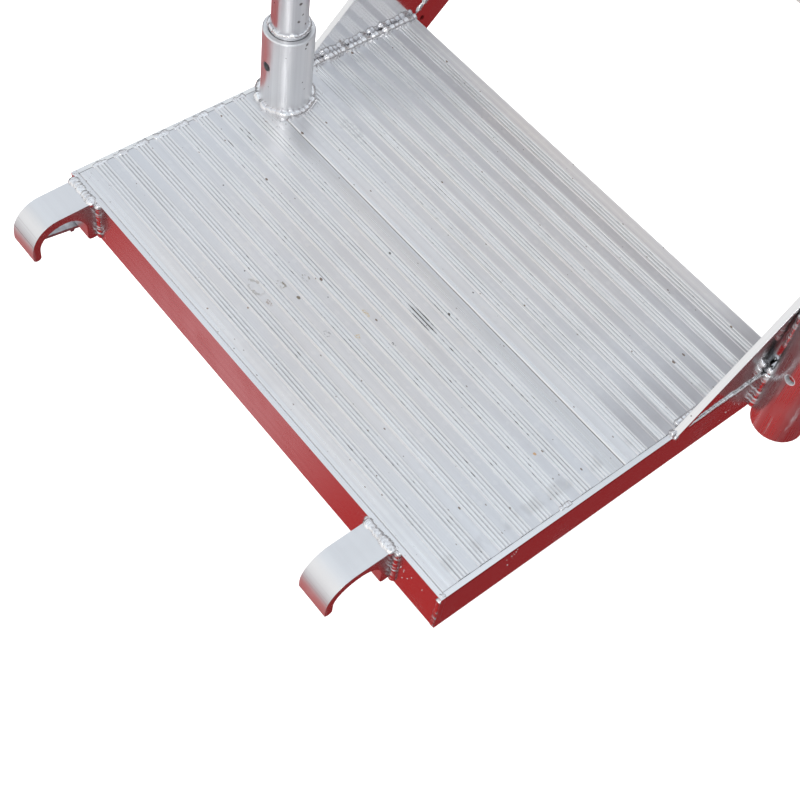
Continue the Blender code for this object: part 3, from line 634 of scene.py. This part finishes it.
def rounded_copy(name, edge):
    """A copy of a CAD node with smooth curves and slightly rounded edges, which stands for it."""
    bm = bmesh.new()
    bm.from_mesh(nodes[name].data)
    bmesh.ops.remove_doubles(bm, verts=bm.verts, dist=0.00002)
    bmesh.ops.dissolve_limit(bm, angle_limit=math.radians(1), verts=bm.verts, edges=bm.edges)
    mesh = bpy.data.meshes.new(name + "_finished")
    bm.to_mesh(mesh)
    bm.free()
    if "custom_normal" in mesh.attributes:
        mesh.attributes.remove(mesh.attributes["custom_normal"])
    mesh.shade_smooth()
    mesh.set_sharp_from_angle(angle=math.radians(32))
    piece = bpy.data.objects.new(name + "_finished", mesh)
    bpy.context.scene.collection.objects.link(piece)
    if edge:
        bevel = piece.modifiers.new("rounded edges", "BEVEL")
        bevel.width = edge
        bevel.segments = 2
        bevel.limit_method = "ANGLE"
        bevel.angle_limit = math.radians(40)
        bevel.harden_normals = True
    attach(piece, nodes[name]["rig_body"])
    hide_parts(name)
    return piece


def finish_with(piece, made, plain):
    """Gives an object its finish, over the plain colour that its mesh keeps."""
    piece.data.materials.append(plain)
    piece.material_slots[0].link = "OBJECT"
    piece.material_slots[0].material = made


def dress(name, made, edge=None):
    """Gives a CAD node its material, on a rounded copy of it where an edge radius is given."""
    if edge is None:
        nodes[name].material_slots[0].link = "OBJECT"
        nodes[name].material_slots[0].material = made
    else:
        finish_with(rounded_copy(name, edge), made, nodes[name].data.materials[0])


def dress_ribbed(name):
    """Gives a plank or a tread its ribbed finish, lined up with the ribs of the part."""
    low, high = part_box(name)
    if "tread" in name:
        made = ribbed_material(name + "_ribbed", low, high,
                               (low.y + high.y - RIB_GROUP_PITCH * TREAD_GROUPS) / 2,
                               TREAD_GROUPS, OUTER_WEAR_AND_SHADE)
        dress(name, made)
        return
    if name.startswith("upper"):
        start = high.y - RIB_GROUP_INSET - RIB_GROUP_PITCH * (PLANK_GROUPS - 0.5)
        front, rear, inward = high.y, low.y, -1
    else:
        start = low.y + RIB_GROUP_INSET - RIB_GROUP_PITCH / 2
        front, rear, inward = low.y, high.y, 1
    if "inner" in name:
        wear_and_shade = INNER_WEAR_AND_SHADE
        margins = {"satin": (rear - inward * 0.022, rear - inward * 0.015),
                   "dim": (front + inward * 0.020, front + inward * 0.028)}
    else:
        wear_and_shade = OUTER_WEAR_AND_SHADE
        margins = {"shaded": (rear - inward * 0.018, rear - inward * 0.012)}
    made = ribbed_material(name + "_ribbed", low, high, start, PLANK_GROUPS, wear_and_shade,
                           STAINS.get(name, ()), **margins)
    dress(name, made)


def dress_nodes():
    """Gives every CAD node its finish: that of the first row whose word is in the node's name."""
    burns = spots(STRINGER_BURNS, (lower, upper))
    level = profile_material("profile_across", "x", 0.22, 0.4)
    member = profile_material("profile_along", "y", 0.22, 0.4, tops=(DECK, DECK + LIFT))
    sloping = profile_material("profile_sloping", "slope", 0.11, 0.35, burns)
    upright = profile_material("tube_upright", "z", 0.34, 1.0, spots(POST_SMEARS), POST_TINT)
    socket = profile_material("tube_socket", "z", 0.41, 1.0, spots(SOCKET_SMEARS))
    rail = profile_material("tube_sloping", "slope", 0.34, 0.8)
    # Word, finish, edge radius
    finishes = (
        ("end_beam", level, 0.0004),
        ("side_member", member, 0.0004),
        ("stringer", sloping, 0.0005),
        ("chord", sloping, 0.0005),
        ("latch_", zinc_material(), 0.0003),
        ("hook", hook_material(), 0.0005),
        ("latch", latch_material(), 0.0005),
        ("plug", plug_material(), 0.0005),
        ("side_socket", side_socket_material(), 0.0),
        ("socket", socket, 0.0),
        ("_rail", rail, 0.0),
        ("", upright, 0.0),
    )
    for name in nodes:
        if "plank" in name or "tread" in name:
            dress_ribbed(name)
        else:
            dress(name, *next(row[1:] for row in finishes if row[0] in name))


# ---------------------------------------------------------------- weld beads

SECTION = 16
STEPS_PER_RIPPLE = 6
RING_SIDES = 48


def bead(bm, path, width, height, pitch, seed, depth=None, lumpy=0.12, ripple=0.28, bow=0.75,
         closed=False):
    """Adds a weld bead to a mesh.  The path is a list of (centre, across, rise), and overlapping
    crescents bow forward along it."""
    rng = random.Random(seed)
    lap = bm.verts.layers.float.get("lap") or bm.verts.layers.float.new("lap")
    depth = height if depth is None else depth
    lengths = [0.0]
    for first, second in zip(path[:-1], path[1:]):
        lengths.append(lengths[-1] + (second[0] - first[0]).length)
    total = lengths[-1]
    count = max(2, round(total / pitch))
    lumps = [rng.uniform(-1, 1) for _ in range(count + 4)]
    if closed:
        lumps[count:] = lumps[:4]
    drift = [rng.uniform(-1, 1) for _ in range(count + 4)]
    steps = count * STEPS_PER_RIPPLE
    parts = [part / STEPS_PER_RIPPLE for part in range(1, STEPS_PER_RIPPLE + 1)]
    waves = [0.0]
    for _ in range(count):
        length = rng.uniform(0.72, 1.28)
        waves += [waves[-1] + length * part for part in parts]
    waves = [wave * count / waves[-1] for wave in waves]
    rings = []
    for step in range(steps + (0 if closed else 1)):
        place = total * step / steps
        index = max(i for i, length in enumerate(lengths) if length <= place + 1e-9)
        index = min(index, len(path) - 2)
        share = (place - lengths[index]) / (lengths[index + 1] - lengths[index])
        centre, across, rise = (a.lerp(b, share) for a, b in zip(path[index], path[index + 1]))
        taper = 1.0
        if not closed:
            short = 1 - min(1.0, min(place, total - place) / (width * 0.5))
            taper = math.sqrt(max(0.0, 1 - short ** 2)) * 0.97 + 0.03
        loop = []
        for corner in range(SECTION):
            turn = 2 * math.pi * corner / SECTION
            phase = waves[step] + bow * max(0.0, math.sin(turn))
            whole = int(phase)
            part = phase - whole
            lump = lumps[whole % len(lumps)] * (1 - part) + lumps[(whole + 1) % len(lumps)] * part
            size = taper * (1 + lumpy * lump + ripple * (part ** 0.6 - 0.5))
            lift = height if math.sin(turn) > 0 else depth
            side = 0.12 * width * lumpy * drift[whole % len(drift)]
            offset = across.normalized() * (math.cos(turn) * width / 2 * size + side * taper)
            offset += rise.normalized() * (math.sin(turn) * lift * size)
            vertex = bm.verts.new(centre + offset)
            vertex[lap] = part
            loop.append(vertex)
        rings.append(loop)
    pairs = list(zip(rings[:-1], rings[1:]))
    if closed:
        pairs.append((rings[-1], rings[0]))
    for first, second in pairs:
        for corner in range(SECTION):
            after = (corner + 1) % SECTION
            bm.faces.new((first[corner], first[after], second[after], second[corner]))
    if not closed:
        bm.faces.new(list(reversed(rings[0])))
        bm.faces.new(rings[-1])


def straight(bm, start, end, across, rise, *sizes, **shape):
    """A weld bead between two points."""
    across, rise = Vector(across), Vector(rise)
    bead(bm, [(Vector(start), across, rise), (Vector(end), across, rise)], *sizes, **shape)


def around(centre, radius, second=Y, rise=Z, stretch=1.0):
    """A closed path round a tube, from +X towards the second direction."""
    path = []
    first, second, rise = Vector(X), Vector(second), Vector(rise)
    for step in range(RING_SIDES + 1):
        turn = 2 * math.pi * step / RING_SIDES
        out = first * math.cos(turn) + second * math.sin(turn) * stretch
        path.append((centre + out * radius, out.normalized(), rise))
    return path


# Where spatter may lie on a landing, for each of its axes, in millimetres
SPATTER_LIMITS = ((2, 638), (2, 480), (-56, 1))


def scatter(bm, rng, place, way, count, centre, reach, out):
    """Drops of weld spatter on a face of the landing, about a point measured in its millimetres."""
    turn = Vector(Z).rotation_difference(way(out)).to_matrix()
    spread = [axis for axis in range(3) if not out[axis]]
    lap = bm.verts.layers.float["lap"]
    for _ in range(count):
        spot = list(centre)
        for axis in spread:
            low, high = SPATTER_LIMITS[axis]
            spot[axis] = min(max(spot[axis] + rng.gauss(0, 0.45) * reach, low), high)
        radius = rng.uniform(0.35, 0.95) * MM
        made = bmesh.ops.create_icosphere(bm, subdivisions=1, radius=radius)
        for vertex in made["verts"]:
            local = Vector((vertex.co.x, vertex.co.y, vertex.co.z * 0.6))
            vertex.co = turn @ local + place(landing(*spot))
            vertex[lap] = 1.0


def add_piece(name, bm, made, body):
    """Turns a mesh of beads into one piece that rides on a body."""
    bmesh.ops.recalc_face_normals(bm, faces=bm.faces)
    mesh = bpy.data.meshes.new(name)
    bm.to_mesh(mesh)
    bm.free()
    mesh.shade_smooth()
    piece = bpy.data.objects.new(name, mesh)
    bpy.context.scene.collection.objects.link(piece)
    finish_with(piece, made, nodes["lower_end_beam"].data.materials[0])
    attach(piece, body)


# Straight beads on a landing, in millimetres: start, end, across, rise, (width, height, pitch),
# seed, and what else differs from a plain bead
CORNER_BEADS = (
    ((2.4, 0.8, -0.8), (7.5, 3.2, -0.8), Y, Z, (6.2, 1.6, 2.6), 41, {"lumpy": 0.45}),
    ((1.8, 6.0, -0.5), (4.6, 6.0, -0.5), Y, Z, (3.4, 1.2, 1.8), 42, {"lumpy": 0.5}),
)
FRAME_BEADS = (
    ((633.2, 157, -0.2), (633.2, 173, -0.2), X, Z, (5.0, 1.5, 3.5), 71, {"lumpy": 0.3}),
    ((0, 6.3, -3), (0, 6.3, -57), Y, LEFTWARDS, (5.0, 1.1, 3.0), 75, {"depth": 1.0}),
    ((636.8, 0, -3.5), (636.8, 0, -58), X, FORWARDS, (5.6, 1.7, 4.0), 76,
     {"depth": 1.0, "lumpy": 0.40, "ripple": 0.08}),
    ((635.5, 1.2, -0.8), (637.4, 7.4, -0.8), X, Z, (5.4, 2.2, 3.0), 77, {"lumpy": 0.4}),
)
FOOT_BEAD = {"depth": 2.0, "lumpy": 0.45, "ripple": 0.20}
STRINGER_BEADS = (
    ((10.2, 322, 0.6), (10.2, 485, 0.6), X, Z, (9.2, 5.6, 6.4), 91,
     {"lumpy": 0.36, "ripple": 0.26, "bow": 0.3}),
    ((629.8, 322, 0.6), (629.8, 485, 0.6), X, Z, (7.5, 4.2, 5.5), 92, {"lumpy": 0.2}),
    ((638.8, 321, 0.2), (638.8, 445, 0.2), X, Z, (2.2, 1.3, 4.0), 93,
     {"lumpy": 0.60, "ripple": 0.45}),
    ((1.0, 321, 0.2), (1.0, 470, 0.2), X, Z, (2.2, 1.2, 3.6), 94, {"lumpy": 0.2}),
    ((631.2, 313.4, 0.6), (640.6, 313.8, 0.2), Y, Z, (7.4, 3.6, 4.8), 95, FOOT_BEAD),
    ((8.8, 313.4, 0.6), (-0.6, 313.8, 0.2), Y, Z, (7.4, 3.6, 4.8), 95, FOOT_BEAD),
    ((640.3, 310.5, -2.2), (640.3, 319.5, -2.2), Z, X, (6.0, 2.4, 4.5), 96,
     {"depth": 2.0, "lumpy": 0.40, "ripple": 0.18}),
)
SOCKET_BEAD = {"depth": 5.0, "lumpy": 0.30, "ripple": 0.14}
SIDE_SOCKET_BEADS = (
    ((643.4, 451.5, -57), (643.4, 451.5, 3), X, FORWARDS, (11.2, 5.0, 6.0), 101, SOCKET_BEAD),
    ((643.8, 454.5, 50), (643.8, 453.5, 106), X, FORWARDS, (8.0, 4.2, 5.8), 102, SOCKET_BEAD),
    ((643.4, 476.5, -57), (643.4, 476.5, 3), X, Y, (11.2, 5.0, 6.0), 111, SOCKET_BEAD),
    ((643.8, 479.5, 50), (643.8, 478.5, 106), X, Y, (8.0, 4.2, 5.8), 112, SOCKET_BEAD),
    ((643.4, 449, 4), (643.4, 460, 9), X, (0, -0.5, 0.8), (9.5, 5.0, 5.5), 121, {"lumpy": 0.4}),
)

# Count, centre, reach and the way the face looks
SPATTER = (
    (34, (52, 246, 0.2), 60, Z),
    (16, (30, 12, -0.2), 34, Z),
    (16, (580, 10, -0.2), 34, Z),
    (22, (640, 420, -24), 32, X),
    (9, (60, 0, -28), 24, FORWARDS),
    (9, (596, 0, -28), 24, FORWARDS),
    (7, (640, 92, -12), 14, X),
)


def landing_welds(tag, place, way, made):
    """The beads that hold one landing together."""
    bm = bmesh.new()

    def line(start, end, across, rise, size, seed, shape):
        """One straight bead, measured in millimetres."""
        shape = dict(shape)
        if "depth" in shape:
            shape["depth"] *= MM
        width, height, pitch = (value * MM for value in size)
        straight(bm, place(landing(*start)), place(landing(*end)), way(across), way(rise),
                 width, height, pitch, seed, **shape)

    hooks = [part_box(f"lower_hook_{side}") for side in ("left", "right")]
    upright = {"depth": 2.0, "ripple": 0.20}
    for number, (low, high) in enumerate(hooks):
        near, far = (low.x - LEFT) / MM, (high.x - LEFT) / MM
        start = near - (4 if number == 0 else 2)
        line((start, -3.6, -2.2), (far + 2.5, -3.6, -2.2), Y, Z, (11.8, 3.8, 4.6), 11 + number,
             {"depth": 6.0, "lumpy": 0.24, "bow": 1.0})
        line((far + 3.2, 0, -2.5), (far + 3.2, 0, -57), X, FORWARDS, (8.4, 4.2, 3.5), 21 + number,
             upright)
        line((near - 2.8, 0, -4), (near - 2.8, 0, -57), X, FORWARDS, (7.2, 3.6, 3.5), 31 + number,
             upright)
    for row in CORNER_BEADS:
        line(*row)

    # Plank ends against the left side member, a few drops at each group of ribs
    rng = random.Random(5)
    for plank, count in (("lower_plank_outer", 8), ("lower_plank_inner", 2)):
        first = (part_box(plank)[0].y + RIB_GROUP_INSET - FRONT) / MM
        for group in range(count):
            middle = first + group * RIB_GROUP_PITCH / MM
            half = rng.uniform(7.5, 10.5)
            line((6.0, middle - half, -0.1), (6.0, middle + half, -0.1), X, Z, (6.4, 1.0, 4.4),
                 50 + group, {"lumpy": 0.7, "ripple": 0.22})
    for row in FRAME_BEADS:
        line(*row)

    # Deck socket
    low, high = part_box("lower_deck_socket")
    centre = place(Vector(((low.x + high.x) / 2, (low.y + high.y) / 2, DECK + 0.0006)))
    bead(bm, around(centre, 0.0318), 0.0104, 0.0052, 0.0062, 81, closed=True, lumpy=0.36,
         ripple=0.14, bow=0.5)

    for row in STRINGER_BEADS + SIDE_SOCKET_BEADS:
        line(*row)
    for row in SPATTER:
        scatter(bm, rng, place, way, *row)
    add_piece(tag + "_landing_welds", bm, made, "stair_frame")


# Seams along the stringers: where they begin, the first bead, the later beads, the gaps between,
# and how much lower than the upper frame they stop
SEAM_START, SEAM_FIRST, SEAM_LATER, SEAM_GAP, SEAM_STOP = 0.004, 0.110, 0.055, 0.110, 0.060

# Beads of a tread: how far behind its front edge, and how long
TREAD_TOP_BEADS, TREAD_TOP_LENGTH = (0.012, 0.062, 0.112), 0.026
TREAD_END_BEADS, TREAD_END_LENGTH = (0.021, 0.109), 0.018
SUNK = 0.0008


def stringer_welds(made):
    """The seams between the stringers and their lower chords, and the ends of the treads."""
    bm = bmesh.new()
    foot = Vector((0, REAR, DECK))
    run = (LIFT - SEAM_STOP - (DECK - FRAME_BOTTOM)) / math.sin(SLOPE)
    for side in (-1, 1):
        inner = side * ((RIGHT - LEFT) / 2 - STRINGER_WEB)
        for face, way in ((inner, -side), (inner + side * STRINGER_WEB, side)):
            position = SEAM_START
            number = 0
            while position < run:
                length = SEAM_FIRST if number == 0 else SEAM_LATER
                start = foot + UP_SLOPE * position + Vector((face, 0, 0))
                end = foot + UP_SLOPE * min(position + length, run) + Vector((face, 0, 0))
                straight(bm, start, end, ACROSS_SLOPE, (way, 0, 0), 0.0072, 0.0024, 0.0056,
                         200 + number, depth=0.001, lumpy=0.34, ripple=0.22)
                position += length + SEAM_GAP
                number += 1
        edge = inner - side * SUNK
        for number in range(1, TREADS + 1):
            low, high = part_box(f"tread_{number}")
            for offset in TREAD_TOP_BEADS:
                start = Vector((edge, low.y + offset, high.z - SUNK))
                straight(bm, start, start + Vector((0, TREAD_TOP_LENGTH, 0)), X, Z,
                         0.0055, 0.0021, 0.0038, 300 + number, lumpy=0.2)
            for offset in TREAD_END_BEADS:
                start = Vector((edge, low.y + offset, low.z + 0.002))
                straight(bm, start, start + Vector((0, 0, TREAD_END_LENGTH)), X, FORWARDS,
                         0.005, 0.002, 0.0036, 320 + number, lumpy=0.2)
    add_piece("stringer_welds", bm, made, "stair_frame")


def guardrail_welds(body, made):
    """Rings round the joints of one guardrail."""
    bm = bmesh.new()
    lean = 1 / math.cos(SLOPE)
    for tag, end in (("lower", 0), ("upper", 1)):
        low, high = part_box(f"{body}_insert_{tag}")
        centre = Vector(((low.x + high.x) / 2, (low.y + high.y) / 2, high.z))
        bead(bm, around(centre, 0.0222), 0.0052, 0.0034, 0.0052, 400 + end, closed=True,
             depth=0.001, lumpy=0.35)
        low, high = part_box(f"{body}_post_{tag}")
        radius = (high.x - low.x) / 2
        centre.z = high.z
        if body == "left_guardrail":
            bead(bm, around(centre, radius), 0.0050, 0.0018, 0.0040, 410 + end, closed=True)
        else:
            centre.z -= radius * math.tan(SLOPE)
            bead(bm, around(centre, radius, second=UP_SLOPE, stretch=lean), 0.0060, 0.0040, 0.0042,
                 410 + end, closed=True)
        low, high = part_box(f"{body}_mid_rail")
        radius = (high.x - low.x) / 2
        facing = 1 if end == 0 else -1
        tall = 1.0 if body == "left_guardrail" else lean
        centre.z = (low.z + radius * tall) if end == 0 else (high.z - radius * tall)
        centre.y = low.y if end == 0 else high.y
        path = around(centre, radius, second=Z, rise=(0, facing, 0), stretch=tall)
        bead(bm, path, 0.0055, 0.0038, 0.0040, 420 + end, closed=True)
    for number in (1, 2):
        low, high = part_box(f"{body}_strut_{number}")
        radius = (high.x - low.x) / 2
        reach = radius * math.tan(SLOPE)
        for z, turned in ((low.z + reach, 1), (high.z - reach, -1)):
            centre = Vector(((low.x + high.x) / 2, (low.y + high.y) / 2, z))
            path = around(centre, radius, second=UP_SLOPE, rise=(0, 0, turned), stretch=lean)
            bead(bm, path, 0.0052, 0.0036, 0.0040, 430 + number * 2 + turned, closed=True)
    add_piece(body + "_welds", bm, made, body)


def add_welds():
    made = weld_material()
    landing_welds("lower", lower, lower_way, made)
    landing_welds("upper", upper, upper_way, made)
    stringer_welds(made)
    guardrail_welds("left_guardrail", made)
    guardrail_welds("right_guardrail", made)


# ---------------------------------------------------------------- surroundings


def add_camera():
    """The camera solved from the photograph's straight edges."""
    level = Vector((math.cos(AZIMUTH), math.sin(AZIMUTH), 0))
    forward = Vector((-math.sin(AZIMUTH) * math.cos(ELEVATION),
                      math.cos(AZIMUTH) * math.cos(ELEVATION), -math.sin(ELEVATION)))
    upright = level.cross(forward)
    right = level * math.cos(ROLL) + upright * math.sin(ROLL)
    up = upright * math.cos(ROLL) - level * math.sin(ROLL)
    data = bpy.data.cameras.new("camera")
    data.lens = LENS
    data.sensor_width = SENSOR
    data.clip_start = 0.05
    data.clip_end = 100
    camera = bpy.data.objects.new("camera", data)
    turn = Matrix((right, up, -forward)).transposed()
    camera.matrix_world = Matrix.Translation(AIM - forward * DISTANCE) @ turn.to_4x4()
    bpy.context.scene.collection.objects.link(camera)
    bpy.context.scene.camera = camera


def add_floor(size=30.0, drop=0.6):
    """A white floor well below the stair, left out of reflections."""
    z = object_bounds()[0].z - drop
    corners = [(-size, -size, z), (size, -size, z), (size, size, z), (-size, size, z)]
    mesh = bpy.data.meshes.new("floor")
    mesh.from_pydata(corners, [], [(0, 1, 2, 3)])
    graph = Graph("floor")
    grain = graph.noise(graph.place, scale=3.0, detail=2.0)
    graph.feed(graph.shader.inputs["Base Color"], graph.mix(grain, FLOOR_DARK, FLOOR_LIGHT))
    graph.shader.inputs["Roughness"].default_value = 1.0
    graph.shader.inputs["Specular IOR Level"].default_value = 0.0
    mesh.materials.append(graph.material)
    floor = bpy.data.objects.new("floor", mesh)
    floor.visible_glossy = False
    bpy.context.scene.collection.objects.link(floor)


# Directions in the surroundings
GLARE = (-0.473, -0.330, -0.817)
ACROSS_GROUND = (0.67, 0.74, 0.0)
# Dark panels low in the sky: direction, and how near to it they begin and are full
PANELS = (
    ((0.94, 0.34, 0.0), 0.55, 0.80),
    ((-0.34, 0.94, 0.0), 0.60, 0.85),
    ((-0.98, 0.20, 0.0), 0.80, 0.92),
)


def add_world():
    """A pale sky above and, in reflections only, the red ground that the bare metal mirrors."""
    world = bpy.data.worlds.new("surroundings")
    world.use_nodes = True
    world.cycles.sampling_method = "NONE"
    world.node_tree.nodes.clear()
    tree = Nodes(world.node_tree)
    way = tree.put("ShaderNodeTexCoord").outputs["Generated"]
    path = tree.put("ShaderNodeLightPath").outputs
    x, y, z = tree.separate(way)
    front = tree.dot(way, (0.0, -1.0, 0.0))

    # Sky
    sky = tree.mix(tree.remap(front, 0.2, 0.9), SKY_SIDES, SKY_FRONT)
    behind = tree.minus(1.0, tree.remap(front, 0.25, 0.65))
    sky = tree.mix(tree.times(behind, tree.remap(z, 0.34, 0.66)), sky, SKY_BEHIND)
    sky = tree.mix(tree.remap(z, 0.66, 0.90), sky, SKY_HIGH)
    sky = tree.mix(tree.remap(z, 0.93, 0.99), sky, SKY_TOP)

    # Ground; rays that have bounced before see it darker, and pale towards the rear left
    ground = tree.mix(tree.remap(tree.dot(way, ACROSS_GROUND), -0.35, 0.45), GROUND_RED,
                      GROUND_DARK_RED)
    ground = tree.mix(tree.remap(tree.dot(way, GLARE), 0.990, 0.9998), ground, GROUND_GLARE)
    first = tree.math("LESS_THAN", path["Ray Depth"], 2.5)
    inward = tree.times(tree.remap(y, 0.15, 0.40), tree.remap(x, 0.05, -0.15))
    ground = tree.mix(first, tree.mix(inward, LATER_RED, LATER_PALE), ground)

    # Horizon and panels
    level = tree.mix(tree.remap(z, -0.45, 0.05), HORIZON_DIM, SKY_SIDES)
    seen = tree.mix(tree.remap(z, 0.0, 0.25), level, sky)
    low_down = tree.minus(1.0, tree.remap(z, 0.22, 0.48))
    for panel, wide, full in PANELS:
        shade = tree.times(tree.remap(tree.dot(way, panel), wide, full), low_down)
        seen = tree.mix(shade, seen, SHADE_PANEL)
    seen = tree.mix(tree.remap(z, -0.62, -0.42), ground, seen)
    shown = tree.mix(path["Is Camera Ray"], seen, WHITE)
    shown = tree.mix(path["Is Diffuse Ray"], shown, DAYLIGHT)
    background = tree.put("ShaderNodeBackground", {"Color": shown, "Strength": 1.0})
    tree.put("ShaderNodeOutputWorld", {"Surface": background.outputs[0]})
    bpy.context.scene.world = world


def add_light(name, place, size, power, mirrored):
    """A round lamp that looks at the middle of the stair."""
    data = bpy.data.lights.new(name, "AREA")
    data.shape = "DISK"
    data.size = size
    data.energy = power
    light = bpy.data.objects.new(name, data)
    light.location = place
    aim = Vector((0, SPAN / 2, 0.4)) - Vector(place)
    light.visible_glossy = mirrored
    light.rotation_mode = "QUATERNION"
    light.rotation_quaternion = aim.to_track_quat("-Z", "Y")
    bpy.context.scene.collection.objects.link(light)


add_camera()
dress_nodes()
add_welds()
add_floor()
add_world()
# Name, place, size, power, shown in reflections
add_light("overhead", (-2.6, -1.6, 6.0), 3.0, 380, False)
add_light("fill", (4.0, 4.0, 5.0), 4.0, 160, False)
add_light("key", (3.2, -3.6, 4.6), 1.6, 40, True)
bpy.context.scene.view_settings.view_transform = "Standard"
